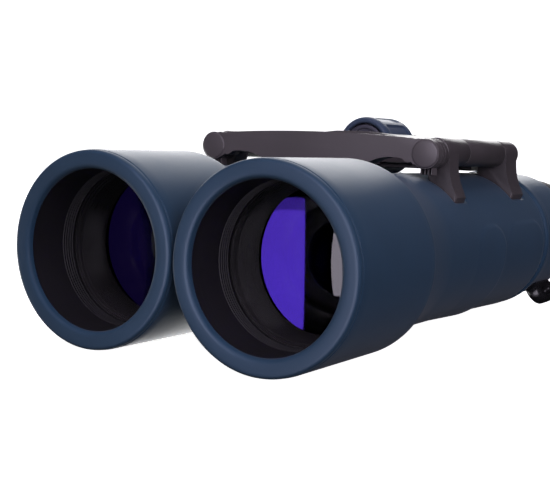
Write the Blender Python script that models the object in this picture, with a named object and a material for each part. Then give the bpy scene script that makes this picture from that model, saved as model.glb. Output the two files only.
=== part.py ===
"""Roof-prism binoculars with two hinges above the barrels.

Metres, +Z up. The objectives face -Y and the eyepieces +Y, with the barrels folded shut.
Left is the user's left, at +X. Inside the optical frame, y is measured from the objective rims
and z from the barrel axes. The optical frame is placed so that the origin is under the middle
of the binoculars, at the height of their lowest point.
"""
import math

import bmesh
import bpy

MM = 0.001

# Overall
FIT = 0.3 * MM
SLIDE_FIT = 0.3 * MM
BARREL_GAP = 0.15 * MM
OVERREACH = 1.0 * MM

# Hood, shoulder and grip of the front armour
HOOD_RADIUS = 28.5 * MM
HOOD_FLARE = 0.1 * MM
HOOD_LENGTH = 45.7 * MM
HOOD_WALL = 2.4 * MM
HOOD_REAR_STEP = 0.6 * MM
RIM_WIDTH = 5.4 * MM
RIM_DEPTH = 2.0 * MM
RIM_ROUNDING = 1.2 * MM
RIM_BEVEL = 0.9 * MM
SHOULDER_LENGTH = 20.5 * MM
SHOULDER_FILLET = 1.5 * MM
GRIP_RADIUS = 24.15 * MM
GRIP_LENGTH = 91.4 * MM
ARMOUR_WALL = 2.0 * MM
BAND_RISE = 0.75 * MM
BAND_WIDTH = 3.2 * MM
BAND_EDGE = 0.8 * MM
BAND_RAMP = (1.2 * MM, 0.2 * MM)
HOOD_REAR_EDGE = 1.0 * MM
SHOULDER_BACKSET = 1.0 * MM

# Rear body
GROOVE_WIDTH = 3.4 * MM
GROOVE_DEPTH = 1.45 * MM
REAR_LENGTH = 26.8 * MM
REAR_STEP = 0.65 * MM
REAR_ROUNDING = 2.2 * MM
REAR_EDGE = 0.9 * MM
BODY_WALL = 2.0 * MM
BODY_SPIGOT_LENGTH = 6.0 * MM
BODY_SPIGOT_WALL = 1.5 * MM
BODY_STEP_BACKSET = 1.0 * MM
REAR_FRONT_EDGE = 1.2 * MM

# Chassis and front tube
CHASSIS_WALL = 2.0 * MM
CHASSIS_SETBACK = 3.8 * MM
CHASSIS_OVERLAP = 0.4 * MM
TUBE_WALL = 2.6 * MM
SPIGOT_WALL = 3.05 * MM
SPIGOT_LENGTH = 6.5 * MM
SEAL_SETBACK = 3.5 * MM
SEAL_THICKNESS = 1.2 * MM
SEAL_GROOVE_WIDTH = 2.2 * MM

# Objective
LENS_SETBACK = 16.7 * MM
LENS_PLAY = 0.7 * MM
RING_LENGTH = 9.0 * MM
RING_MOUTH_WALL = 0.9 * MM
RING_THROAT_WALL = 2.1 * MM
RING_LIP = 1.0 * MM
CROWN_EDGE = 2.4 * MM
FLINT_EDGE = 5.2 * MM
FRONT_CURVE = 64.0 * MM
MIDDLE_CURVE = 72.0 * MM
LENS_SEAT_STEP = 2.2 * MM

# Hinges
HINGE_OFFSET = 10.4 * MM
HINGE_RISE = 6.45 * MM
HINGE_SWING = math.radians(15.0)
SLEEVE_RISE = 0.65 * MM
SLEEVE_RADIUS = 4.5 * MM
SLEEVE_PROUD = 0.2 * MM
KNUCKLE_RADIUS = 4.6 * MM
KNUCKLE_DEPTH = 3.0 * MM
KNUCKLE_INNER = 4.85 * MM
BUSH_RADIUS = 4.75 * MM
BUSH_EDGE = 0.5 * MM
PIN_RADIUS = 2.65 * MM
PIN_BORE = 1.8 * MM
PIN_SETBACK = 1.4 * MM
PIN_PROUD = 0.6 * MM
COLLAR_SHARE = 0.20077
REAR_COLLAR_LENGTH = 15.0 * MM
COLLAR_ROUNDING = 3.2 * MM
FRONT_LEG_SETBACK = 0.55 * MM
FRONT_LEG_WIDTH = 7.6 * MM
REAR_LEG_SETBACK = 0.2 * MM
REAR_LEG_FRONT_WALL = 2.1 * MM
REAR_LEG_REAR_WALL = 2.3 * MM
LEG_FOOT_ANGLE = math.radians(44.0)
FRONT_LEG_INNER_ANGLE = math.radians(68.0)
REAR_LEG_INNER_ANGLE = math.radians(81.0)
LEG_SINK = 0.85 * MM
FOOT_MARGIN = math.radians(1.2)
FOOT_INNER_MARGIN = math.radians(5.0)

# Bridge, with heights above the hinge axes
ARM_SHARE = 0.0919
ARM_DEPTH = 7.7 * MM
ARM_GAP = 0.35 * MM
ARM_TOP = 5.8 * MM
ARM_END_TOP = 3.9 * MM
ARM_BOTTOM = -6.4 * MM
ARM_ARCH = -1.7 * MM
ARM_BOW = 3.15 * MM
ARM_SHOULDER = 4.75 * MM
ARM_EDGE = 0.5 * MM
NECK_HALF = 11.0 * MM
NECK_TOP = 5.4 * MM
NECK_BOTTOM = -4.2 * MM
HOUSING_TOP = 6.7 * MM
HOUSING_EDGE_TOP = 2.8 * MM
HOUSING_BOTTOM = -3.4 * MM
HOUSING_FOOT_SETBACK = 3.15 * MM
HOUSING_RIDGE_HALF = 6.0 * MM
HOUSING_WALL = 1.3 * MM
POCKET_SETBACK = 6.15 * MM
POCKET_RIDGE_HALF = 5.5 * MM
RIB_SETBACK = 7.75 * MM
RIB_LENGTH = 9.7 * MM
RIB_TOP = 4.1 * MM
RIB_BOTTOM = -5.7 * MM
COVER_SETBACK = 7.15 * MM
COVER_THICKNESS = 1.4 * MM
COVER_GAP = 0.8 * MM
SCREW_X = 7.4 * MM
SCREW_RADIUS = 1.2 * MM
SCREW_HEAD_RADIUS = 2.2 * MM
SCREW_HEAD_HEIGHT = 2.2 * MM
SCREW_HEAD_SETBACK = 3.9 * MM
SCREW_REACH = 5.0 * MM

# Focus drive
WHEEL_RISE = 1.7 * MM
WHEEL_RADIUS = 10.15 * MM
WHEEL_SHARE = 0.23195
WHEEL_GAP = 0.4 * MM
WHEEL_SIDE_GAP = 0.8 * MM
WHEEL_REAR_GAP = 1.9 * MM
WHEEL_EDGE = 0.9 * MM
CORE_CHAMFER = 0.6 * MM
GRIP_RING_WALL = 1.5 * MM
GRIP_LIP = 2.3 * MM
CAP_THICKNESS = 2.2 * MM
CAP_CHAMFER = 0.5 * MM
SPINDLE_RADIUS = 1.8 * MM
SPINDLE_SETBACK = 7.85 * MM
SPINDLE_OVERRUN = 5.4 * MM
FOCUS_TRAVEL = 2.0 * MM
YOKE_THICKNESS = 3.0 * MM
YOKE_HEIGHT = 2.4 * MM
YOKE_WALL = 0.9 * MM
YOKE_SLOT_REACH = 9.15 * MM
NUT_RADIUS = 3.3 * MM
ROD_RADIUS = 1.5 * MM
ROD_GROOVE_RADIUS = 0.6 * MM
ROD_FRONT_END = 4.0 * MM
ROD_REAR_END = 3.4 * MM
LEVER_SIZE = 1.6 * MM
LEVER_ROOT = 3.0 * MM
CARRIER_LENGTH = 6.0 * MM
CARRIER_LIP = 0.8 * MM
FOCUS_LENS_RADIUS = 11.0 * MM
FOCUS_CURVE = 48.0 * MM

# Prisms and eyepiece
PRISM_CELL_WALL = 1.6 * MM
PRISM_CELL_SETBACK = 2.6 * MM
PRISM_CELL_END_GAP = 4.6 * MM
PRISM_WINDOW_EDGE = 6.8 * MM
PRISM_SHARE = 0.578
HALF_PRISM_TOE = 2.6 * MM
HALF_PRISM_HEEL = 9.6 * MM
PRISM_AIR = 0.8 * MM
ROOF_DEPTH = 2.4 * MM
NECK_STEP = 3.2 * MM
NECK_WALL = 2.5 * MM
NECK_LENGTH = 18.5 * MM
DIOPTRE_WIDTH = 7.0 * MM
DIOPTRE_WALL = 3.4 * MM
DIOPTRE_EDGE = 0.7 * MM
CELL_WALL = 1.4 * MM
CELL_STEP = 1.4 * MM
CELL_SETBACK = 0.6 * MM
CELL_END_GAP = 2.1 * MM
FIELD_SEAT = 5.2 * MM
FIELD_CURVE = 40.0 * MM
FIELD_VERTEX = 0.6 * MM
EYE_SEAT = 6.2 * MM
EYE_CURVE = 38.0 * MM
EYE_VERTEX = 1.6 * MM
CLICK_RING_WALL = 0.9 * MM
EYECUP_WALL = 3.2 * MM
EYECUP_MOUTH_INSET = 3.5 * MM
EYECUP_PROUD = 4.7 * MM
EYECUP_TAPER = 0.4 * MM
EYECUP_TAPER_LENGTH = 6.0 * MM
EYECUP_ROUNDING = 1.6 * MM
EYECUP_LIP_ROUNDING = 1.4 * MM
EYECUP_LIP_GAP = 0.4 * MM

# Strap lug
LUG_ANGLE = math.radians(50.0)
LUG_REACH = 7.5 * MM
LUG_SETBACK = 4.8 * MM
LUG_LENGTH = 18.0 * MM
LUG_THICKNESS = 5.0 * MM
LUG_CORNER = 4.0 * MM
LUG_RIM = 2.2 * MM
LUG_SLOT_LENGTH = 9.0 * MM
LUG_SLOT_HEIGHT = 3.5 * MM

# Smoothness
OUTER_SIDES = 32
INNER_SIDES = 20
SMALL_SIDES = 12
MERGE_DISTANCE = 0.000002
SHARP_ANGLE = math.radians(35.0)

# Stations along a barrel
HOOD_REAR_Y = HOOD_LENGTH
SHOULDER_END_Y = HOOD_REAR_Y + SHOULDER_LENGTH
FRONT_ARMOUR_END_Y = SHOULDER_END_Y + GRIP_LENGTH
REAR_START_Y = FRONT_ARMOUR_END_Y + GROOVE_WIDTH
REAR_END_Y = REAR_START_Y + REAR_LENGTH
NECK_END_Y = REAR_END_Y + NECK_LENGTH
LENGTH = NECK_END_Y + EYECUP_PROUD
LENS_VERTEX_Y = HOOD_REAR_Y - LENS_SETBACK
RING_FRONT_Y = LENS_VERTEX_Y - RING_LENGTH
CHASSIS_START_Y = SHOULDER_END_Y + CHASSIS_SETBACK
CHASSIS_END_Y = FRONT_ARMOUR_END_Y + CHASSIS_OVERLAP
SEAL_Y = CHASSIS_START_Y + SEAL_SETBACK
TUBE_END_Y = CHASSIS_START_Y + SPIGOT_LENGTH
PRISM_CELL_START_Y = CHASSIS_END_Y + PRISM_CELL_SETBACK
PRISM_CELL_END_Y = REAR_END_Y - PRISM_CELL_END_GAP
CELL_START_Y = REAR_END_Y - CELL_SETBACK
CELL_END_Y = NECK_END_Y - CELL_END_GAP
COLLAR_Y = REAR_END_Y + FIT
CLICK_RING_Y = COLLAR_Y + DIOPTRE_WIDTH + FIT
LUG_START_Y = REAR_START_Y + LUG_SETBACK

# Radii of a barrel
HOOD_REAR_RADIUS = HOOD_RADIUS + HOOD_FLARE
RIM_OPENING = HOOD_RADIUS - RIM_WIDTH
BAND_RADIUS = GRIP_RADIUS + BAND_RISE
WIDEST_RADIUS = max(HOOD_REAR_RADIUS, BAND_RADIUS)
BARREL_SPACING = 2 * (WIDEST_RADIUS + BARREL_GAP)
TUBE_OUTER = HOOD_RADIUS - HOOD_WALL - FIT
TUBE_BORE = TUBE_OUTER - TUBE_WALL
LENS_RADIUS = TUBE_BORE - LENS_PLAY
RING_MOUTH = TUBE_BORE - RING_MOUTH_WALL
RING_THROAT = TUBE_BORE - RING_THROAT_WALL
CHASSIS_OUTER = GRIP_RADIUS - ARMOUR_WALL - FIT
CHASSIS_BORE = CHASSIS_OUTER - CHASSIS_WALL
SPIGOT_RADIUS = CHASSIS_BORE - FIT
TUBE_THROAT = SPIGOT_RADIUS - SPIGOT_WALL
GROOVE_RADIUS = GRIP_RADIUS - GROOVE_DEPTH
REAR_RADIUS = GRIP_RADIUS - REAR_STEP
REAR_BODY_RADIUS = REAR_RADIUS - ARMOUR_WALL - FIT
PRISM_CELL_RADIUS = REAR_BODY_RADIUS - BODY_WALL - FIT
PRISM_CELL_BORE = PRISM_CELL_RADIUS - PRISM_CELL_WALL
NECK_RADIUS = REAR_BODY_RADIUS - NECK_STEP
EYEPIECE_BORE = NECK_RADIUS - NECK_WALL
CELL_RADIUS = EYEPIECE_BORE - SLIDE_FIT
DIOPTRE_RADIUS = NECK_RADIUS + FIT + DIOPTRE_WALL
EYECUP_RADIUS = NECK_RADIUS + EYECUP_WALL
EYECUP_MOUTH = NECK_RADIUS - EYECUP_MOUTH_INSET
LUG_RADIUS = REAR_RADIUS + LUG_REACH

# Hinge axes and what turns on them
HINGE_X = BARREL_SPACING / 2 + HINGE_OFFSET
HINGE_Z = GRIP_RADIUS + HINGE_RISE
WHEEL_Z = HINGE_Z + WHEEL_RISE
HINGE_DISTANCE = math.hypot(HINGE_OFFSET, HINGE_Z)
LEVER_ANGLE = math.atan2(HINGE_Z, HINGE_OFFSET)
PIN_HOLE = PIN_RADIUS + FIT
SHAFT_HOLE = SPINDLE_RADIUS + FIT

# Stations along the bridge, which is spread over its share of the grip
FRONT_COLLAR_LENGTH = COLLAR_SHARE * GRIP_LENGTH
WHEEL_WIDTH = WHEEL_SHARE * GRIP_LENGTH
ARM_FRONT_Y = SHOULDER_END_Y + ARM_SHARE * GRIP_LENGTH
ARM_END_Y = ARM_FRONT_Y + ARM_DEPTH
FRONT_COLLAR = (ARM_END_Y + ARM_GAP, ARM_END_Y + ARM_GAP + FRONT_COLLAR_LENGTH)
FRONT_LEG = (FRONT_COLLAR[0] + FRONT_LEG_SETBACK, FRONT_COLLAR[0] + FRONT_LEG_SETBACK + FRONT_LEG_WIDTH)
SLEEVE_START_Y = FRONT_COLLAR[1] + FIT
YOKE_HALF_SLOT = YOKE_THICKNESS / 2 + FOCUS_TRAVEL + FIT
YOKE_Y = SLEEVE_START_Y + YOKE_WALL + YOKE_HALF_SLOT
YOKE_SLOT = (YOKE_Y - YOKE_HALF_SLOT, YOKE_Y + YOKE_HALF_SLOT)
WHEEL_START_Y = YOKE_SLOT[1] + WHEEL_GAP
WHEEL_END_Y = WHEEL_START_Y + WHEEL_WIDTH
SLEEVE_END_Y = WHEEL_END_Y + WHEEL_REAR_GAP
REAR_COLLAR = (SLEEVE_END_Y + FIT, SLEEVE_END_Y + FIT + REAR_COLLAR_LENGTH)
LEVER_HALF_SLOT = LEVER_SIZE / 2 + FOCUS_TRAVEL + FIT
LEVER_Y = REAR_COLLAR[0] + REAR_LEG_SETBACK + REAR_LEG_FRONT_WALL + LEVER_HALF_SLOT
LEVER_SLOT = (LEVER_Y - LEVER_HALF_SLOT, LEVER_Y + LEVER_HALF_SLOT)
REAR_LEG = (REAR_COLLAR[0] + REAR_LEG_SETBACK, LEVER_SLOT[1] + REAR_LEG_REAR_WALL)
PIN_START_Y = ARM_FRONT_Y + PIN_SETBACK
PIN_END_Y = REAR_LEG[1] + PIN_PROUD
SPINDLE_START_Y = FRONT_COLLAR[0] + SPINDLE_SETBACK
SPINDLE_END_Y = WHEEL_END_Y + SPINDLE_OVERRUN
SCREW_HEAD_Y = SLEEVE_START_Y - SCREW_HEAD_SETBACK
SCREW_END_Y = ARM_END_Y - SCREW_REACH

FINISHES = {
    "blue_rubber": ((0.018, 0.036, 0.062), 0.55, 0.0),
    "black_metal": ((0.012, 0.012, 0.014), 0.45, 0.6),
    "black_plastic": ((0.035, 0.034, 0.038), 0.5, 0.0),
    "black_rubber": ((0.02, 0.02, 0.022), 0.7, 0.0),
    "steel": ((0.45, 0.45, 0.47), 0.3, 1.0),
    "brass": ((0.55, 0.4, 0.18), 0.35, 1.0),
    "coated_glass": ((0.06, 0.03, 0.22), 0.05, 0.0),
    "clear_glass": ((0.7, 0.78, 0.78), 0.05, 0.0),
}


def clear_scene():
    """Remove what a new scene holds."""
    for item in list(bpy.data.objects):
        bpy.data.objects.remove(item, do_unlink=True)


def finish(name):
    """The material of a finish, made when it is first asked for."""
    material = bpy.data.materials.get(name)
    if material is None:
        colour, roughness, metallic = FINISHES[name]
        material = bpy.data.materials.new(name)
        material.use_nodes = True
        shader = material.node_tree.nodes["Principled BSDF"]
        shader.inputs["Base Color"].default_value = (*colour, 1.0)
        shader.inputs["Roughness"].default_value = roughness
        shader.inputs["Metallic"].default_value = metallic
    return material


def empty(name, location, parent=None):
    """An empty that carries pieces."""
    item = bpy.data.objects.new(name, None)
    item.location = location
    item.parent = parent
    bpy.context.scene.collection.objects.link(item)
    return item


def piece(name, mesh, finish_name, parent):
    """Turn a bmesh into a smooth-shaded object."""
    bmesh.ops.remove_doubles(mesh, verts=mesh.verts, dist=MERGE_DISTANCE)
    bmesh.ops.recalc_face_normals(mesh, faces=mesh.faces)
    data = bpy.data.meshes.new(name)
    mesh.to_mesh(data)
    mesh.free()
    data.shade_smooth()
    data.set_sharp_from_angle(angle=SHARP_ANGLE)
    data.materials.append(finish(finish_name))
    item = bpy.data.objects.new(name, data)
    item.parent = parent
    bpy.context.scene.collection.objects.link(item)
    return item


def turned(name, outline, sides, finish_name, parent, centre=(0.0, 0.0)):
    """Spin an outline of (radius, y) points round an axis along Y, at centre = (x, z)."""
    mesh = bmesh.new()
    verts = [mesh.verts.new((radius, y, 0.0)) for radius, y in outline]
    edges = [mesh.edges.new(pair) for pair in zip(verts, verts[1:])]
    if outline[0][0] > 0.0:
        edges.append(mesh.edges.new((verts[-1], verts[0])))
    bmesh.ops.spin(
        mesh, geom=verts + edges, cent=(0, 0, 0), axis=(0, 1, 0), angle=math.tau, steps=sides, use_merge=True
    )
    bmesh.ops.translate(mesh, verts=mesh.verts, vec=(centre[0], 0.0, centre[1]))
    return piece(name, mesh, finish_name, parent)


def extruded(name, outline, start, end, finish_name, parent, axis="Y"):
    """Extrude a closed outline from start to end: (x, z) points along Y, or (x, y) points along Z."""
    mesh = bmesh.new()
    if axis == "Y":
        points = [(a, start, b) for a, b in outline]
        move = (0.0, end - start, 0.0)
    else:
        points = [(a, b, start) for a, b in outline]
        move = (0.0, 0.0, end - start)
    face = mesh.faces.new([mesh.verts.new(point) for point in points])
    grown = bmesh.ops.extrude_face_region(mesh, geom=[face])["geom"]
    bmesh.ops.translate(mesh, verts=[v for v in grown if isinstance(v, bmesh.types.BMVert)], vec=move)
    return piece(name, mesh, finish_name, parent)


def block(name, low, high, finish_name, parent):
    """A box between two corners."""
    outline = [(low[0], low[2]), (high[0], low[2]), (high[0], high[2]), (low[0], high[2])]
    return extruded(name, outline, low[1], high[1], finish_name, parent)


def combine(target, other, operation):
    """Join another solid to the target, or cut the target with it."""
    modifier = target.modifiers.new(other.name, "BOOLEAN")
    modifier.operation = operation
    modifier.solver = "EXACT"
    modifier.object = other
    other.hide_render = True
    other.display_type = "WIRE"


def join(target, other):
    combine(target, other, "UNION")


def cut(target, other):
    combine(target, other, "DIFFERENCE")


def polar(radius, angle, side=1):
    """A point at an angle above the outward direction."""
    return (side * radius * math.cos(angle), radius * math.sin(angle))


def arc(centre, radius, start, end, steps):
    """Points on an arc, with angles in radians."""
    return [
        (
            centre[0] + radius * math.cos(start + (end - start) * step / steps),
            centre[1] + radius * math.sin(start + (end - start) * step / steps),
        )
        for step in range(steps + 1)
    ]


def sag(curve, radius):
    """How far a sphere of a given curve radius falls back at a radius from its vertex."""
    return curve - math.sqrt(curve * curve - radius * radius)


def lens_face(vertex_y, curve, radius, steps):
    """Points of a lens surface from its vertex outwards; a negative curve bulges towards +Y."""
    points = []
    for step in range(steps + 1):
        distance = radius * step / steps
        fall = math.copysign(sag(abs(curve), distance), curve)
        points.append((distance, vertex_y + fall))
    return points


def mirrored(points, side):
    return [(side * x, z) for x, z in points]


def side_word(side):
    return "left" if side > 0 else "right"


# ---------------------------------------------------------------- bridge


def arm_half_outline():
    """The right half of the front arm's outline, from the middle of its top to the middle of its foot."""
    bow = HINGE_X - ARM_BOW
    end = HINGE_X - ARM_SHOULDER
    top_steps = 6
    top = []
    for step in range(top_steps + 1):
        x = end * step / top_steps
        top.append((x, HINGE_Z + ARM_TOP - (ARM_TOP - ARM_END_TOP) * (x / bow) ** 2))
    knuckle = arc((HINGE_X, HINGE_Z), KNUCKLE_RADIUS, math.radians(132), math.radians(-138), 14)
    arch_rows = (
        (5.55 * MM, ARM_ARCH - 0.8 * MM),
        (7.75 * MM, ARM_ARCH),
        (12.15 * MM, ARM_ARCH + 0.3 * MM),
        (16.55 * MM, ARM_ARCH - 0.5 * MM),
        (20.75 * MM, ARM_ARCH - 2.3 * MM),
        (24.55 * MM, ARM_BOTTOM + 0.7 * MM),
        (28.65 * MM, ARM_BOTTOM),
    )
    arch = [(HINGE_X - inset, HINGE_Z + rise) for inset, rise in arch_rows]
    return top, knuckle, arch


def make_front_arm(frame):
    """Arm from hinge to hinge, with a thin knuckle at each end."""
    top, knuckle, arch = arm_half_outline()
    half = top + knuckle + arch
    other = [(-x, z) for x, z in reversed(half) if x > 0.0]
    arm = extruded("front_arm", half + other, ARM_FRONT_Y, ARM_END_Y, "black_plastic", frame)
    for side in (1, -1):
        word = side_word(side)
        cut(arm, knuckle_recess(side, frame))
        hinge = (side * HINGE_X, HINGE_Z)
        cut(arm, rod("cut_arm_pin_" + word, PIN_HOLE, PIN_START_Y - FIT, ARM_END_Y + OVERREACH, hinge, frame))
        screw = (side * SCREW_X, HINGE_Z)
        hole = SCREW_RADIUS + FIT
        cut(arm, rod("cut_arm_screw_" + word, hole, SCREW_END_Y - FIT, ARM_END_Y + OVERREACH, screw, frame))
    bevel = arm.modifiers.new("edges", "BEVEL")
    bevel.width = ARM_EDGE
    bevel.segments = 1
    bevel.limit_method = "ANGLE"
    bevel.angle_limit = math.radians(60)
    arm.modifiers.move(len(arm.modifiers) - 1, 0)
    return arm


def knuckle_recess(side, frame):
    """The space behind a knuckle, cut out of the arm's end for the bush and the collar."""
    ends = sorted((side * (HINGE_X - KNUCKLE_INNER), side * (HINGE_X + 1.5 * KNUCKLE_RADIUS)))
    reach = 1.6 * KNUCKLE_RADIUS
    return block(
        "cut_knuckle_" + side_word(side),
        (ends[0], ARM_FRONT_Y + KNUCKLE_DEPTH, HINGE_Z - reach),
        (ends[1], ARM_END_Y + OVERREACH, HINGE_Z + reach),
        "black_plastic",
        frame,
    )


def rod(name, radius, start, end, centre, parent, finish_name="steel", sides=SMALL_SIDES):
    """A plain round bar along Y."""
    return turned(
        name, [(0.0, start), (radius, start), (radius, end), (0.0, end)], sides, finish_name, parent, centre
    )


def housing_outline():
    """Front view of the housing between the hinge sleeves."""
    right = [
        (HINGE_X - 0.75 * MM, HINGE_Z + HOUSING_EDGE_TOP),
        (HINGE_X - 11.15 * MM, HINGE_Z + HOUSING_TOP - 2.3 * MM),
        (NECK_HALF + 3.0 * MM, HINGE_Z + HOUSING_TOP - 1.0 * MM),
        (HOUSING_RIDGE_HALF, HINGE_Z + HOUSING_TOP),
    ]
    left = [(-x, z) for x, z in reversed(right)]
    foot = HINGE_X - HOUSING_FOOT_SETBACK
    return [(-foot, HINGE_Z + HOUSING_BOTTOM), (foot, HINGE_Z + HOUSING_BOTTOM)] + right + left


def pocket_outline():
    """Front view of the hollow under the housing's roof, which holds the yoke."""
    half = HINGE_X - POCKET_SETBACK
    roof = [
        (half, HINGE_Z + HOUSING_EDGE_TOP),
        (NECK_HALF + 1.0 * MM, HINGE_Z + HOUSING_TOP - 2.7 * MM),
        (POCKET_RIDGE_HALF, HINGE_Z + HOUSING_TOP - HOUSING_WALL),
    ]
    left = [(-x, z) for x, z in reversed(roof)]
    floor = HINGE_Z + 2 * RIB_BOTTOM
    return [(-half, floor), (half, floor)] + roof + left


def make_housing(frame):
    """Upper shell of the bridge, with the middle hinge sleeves and the rear rib."""
    outline = housing_outline()
    ends = (SLEEVE_START_Y + SLEEVE_PROUD, SLEEVE_END_Y - SLEEVE_PROUD)
    housing = extruded("bridge_housing", outline, *ends, "black_plastic", frame)
    join(housing, block(
        "join_neck",
        (-NECK_HALF, ARM_END_Y + FIT, HINGE_Z + NECK_BOTTOM),
        (NECK_HALF, SLEEVE_START_Y + OVERREACH, HINGE_Z + NECK_TOP),
        "black_plastic",
        frame,
    ))
    rib_half = HINGE_X - RIB_SETBACK
    join(housing, block(
        "join_rib",
        (-rib_half, WHEEL_END_Y + WHEEL_GAP + 0.5 * MM, HINGE_Z + RIB_BOTTOM),
        (rib_half, SLEEVE_END_Y + RIB_LENGTH, HINGE_Z + RIB_TOP),
        "black_plastic",
        frame,
    ))
    for side in (1, -1):
        centre = (side * HINGE_X, HINGE_Z + SLEEVE_RISE)
        name = "join_sleeve_" + side_word(side)
        ends = (SLEEVE_START_Y, SLEEVE_END_Y)
        join(housing, rod(name, SLEEVE_RADIUS, *ends, centre, frame, sides=INNER_SIDES))
    cut_focus_space(housing, frame)
    for side in (1, -1):
        word = side_word(side)
        hinge = (side * HINGE_X, HINGE_Z)
        ends = (SLEEVE_START_Y - OVERREACH, SLEEVE_END_Y + OVERREACH)
        cut(housing, rod("cut_sleeve_" + word, PIN_HOLE, *ends, hinge, frame))
        cut(housing, yoke_slot("cut_sleeve_slot_" + word, side, SLEEVE_START_Y - OVERREACH, frame))
        screw = (side * SCREW_X, HINGE_Z)
        cut(housing, rod("cut_screw_" + word, SCREW_RADIUS + FIT, ARM_END_Y, YOKE_Y, screw, frame))
        head = (SCREW_HEAD_Y - FIT, YOKE_Y)
        cut(housing, rod("cut_head_" + word, SCREW_HEAD_RADIUS + FIT, *head, screw, frame))
    return housing


def cut_focus_space(housing, frame):
    """The yoke's pocket, the window that the wheel turns in and the spindle's bore."""
    outline = pocket_outline()
    ends = (YOKE_SLOT[0], WHEEL_START_Y + OVERREACH)
    cut(housing, extruded("cut_pocket", outline, *ends, "black_plastic", frame))
    half = WHEEL_RADIUS + WHEEL_SIDE_GAP
    cut(housing, block(
        "cut_wheel_window",
        (-half, WHEEL_START_Y - WHEEL_GAP, WHEEL_Z - WHEEL_RADIUS - 2 * OVERREACH),
        (half, WHEEL_END_Y + WHEEL_GAP, WHEEL_Z + WHEEL_RADIUS + 2 * OVERREACH),
        "black_plastic",
        frame,
    ))
    bore = (SPINDLE_START_Y - FIT, SPINDLE_END_Y + FIT)
    cut(housing, rod("cut_spindle", SHAFT_HOLE, *bore, (0, WHEEL_Z), frame))


def yoke_slot(name, side, start, frame):
    """The slot through which the yoke's bar reaches the rod in a hinge."""
    half = YOKE_HEIGHT / 2 + FIT
    ends = sorted((side * (HINGE_X - YOKE_SLOT_REACH), side * HINGE_X))
    return block(
        name,
        (ends[0], start, HINGE_Z - half),
        (ends[1], YOKE_SLOT[1], HINGE_Z + half),
        "steel",
        frame,
    )


def make_cover(frame):
    """Plate under the housing's pocket."""
    top = HINGE_Z + HOUSING_BOTTOM - FIT
    half = HINGE_X - COVER_SETBACK
    return block(
        "bridge_cover",
        (-half, SLEEVE_START_Y + HOUSING_WALL, top - COVER_THICKNESS),
        (half, WHEEL_START_Y - COVER_GAP, top),
        "black_plastic",
        frame,
    )


def make_screw(side, frame):
    """Cap screw that ties the arm to the housing's neck."""
    outline = [
        (0.0, SCREW_END_Y),
        (SCREW_RADIUS, SCREW_END_Y),
        (SCREW_RADIUS, SCREW_HEAD_Y),
        (SCREW_HEAD_RADIUS, SCREW_HEAD_Y),
        (SCREW_HEAD_RADIUS, SCREW_HEAD_Y + SCREW_HEAD_HEIGHT),
        (0.0, SCREW_HEAD_Y + SCREW_HEAD_HEIGHT),
    ]
    centre = (side * SCREW_X, HINGE_Z)
    turned("arm_screw_" + side_word(side), outline, SMALL_SIDES, "steel", frame, centre)


def make_hinge_pin(side, frame):
    """Hollow pin, slotted for the yoke and for the focusing lever."""
    outline = [
        (PIN_BORE, PIN_START_Y),
        (PIN_RADIUS, PIN_START_Y),
        (PIN_RADIUS, PIN_END_Y),
        (PIN_BORE, PIN_END_Y),
    ]
    word = side_word(side)
    hinge = (side * HINGE_X, HINGE_Z)
    pin = turned("hinge_pin_" + word, outline, SMALL_SIDES, "steel", frame, hinge)
    cut(pin, yoke_slot("cut_pin_yoke_" + word, side, YOKE_SLOT[0], frame))
    half = LEVER_SIZE / 2 + FIT + PIN_RADIUS * math.sin(HINGE_SWING)
    window = block(
        "cut_pin_lever_" + word,
        (-half, LEVER_SLOT[0], -2 * PIN_RADIUS),
        (half, LEVER_SLOT[1], 0.0),
        "steel",
        frame,
    )
    window.location = (hinge[0], 0.0, hinge[1])
    window.rotation_euler = (0.0, side * (math.pi / 2 - LEVER_ANGLE), 0.0)
    cut(pin, window)


def make_hinge_bush(side, frame):
    """Ring between the arm's knuckle and the barrel's collar."""
    start = ARM_FRONT_Y + KNUCKLE_DEPTH + FIT
    end = FRONT_COLLAR[0] - FIT
    edge = BUSH_EDGE
    outline = [
        (PIN_HOLE, start),
        (BUSH_RADIUS - edge, start),
        (BUSH_RADIUS, start + edge),
        (BUSH_RADIUS, end - edge),
        (BUSH_RADIUS - edge, end),
        (PIN_HOLE, end),
    ]
    centre = (side * HINGE_X, HINGE_Z)
    turned("hinge_bush_" + side_word(side), outline, INNER_SIDES, "black_plastic", frame, centre)


# ---------------------------------------------------------------- focus drive


def make_focus_wheel(wheel):
    """Wheel core, rubber ring and cap, with the spindle they turn with."""
    cap_start = WHEEL_START_Y + FIT
    cap_end = cap_start + CAP_THICKNESS
    make_wheel_core(wheel, cap_end + FIT)
    make_wheel_grip(wheel, cap_end)
    cap_radius = WHEEL_RADIUS - GRIP_LIP - FIT
    outline = [
        (SHAFT_HOLE, cap_start),
        (cap_radius - CAP_CHAMFER, cap_start),
        (cap_radius, cap_start + CAP_CHAMFER),
        (cap_radius, cap_end),
        (SHAFT_HOLE, cap_end),
    ]
    turned("focus_cap", outline, INNER_SIDES, "black_plastic", wheel)
    rod("focus_spindle", SPINDLE_RADIUS, SPINDLE_START_Y, SPINDLE_END_Y, (0, 0), wheel)


def make_wheel_core(wheel, start):
    """The wheel's hub, under the rubber ring."""
    radius = WHEEL_RADIUS - GRIP_RING_WALL - FIT
    outline = [
        (SHAFT_HOLE, start),
        (radius - CORE_CHAMFER, start),
        (radius, start + CORE_CHAMFER),
        (radius, WHEEL_END_Y),
        (SHAFT_HOLE, WHEEL_END_Y),
    ]
    turned("focus_wheel", outline, INNER_SIDES, "black_plastic", wheel)


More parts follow.
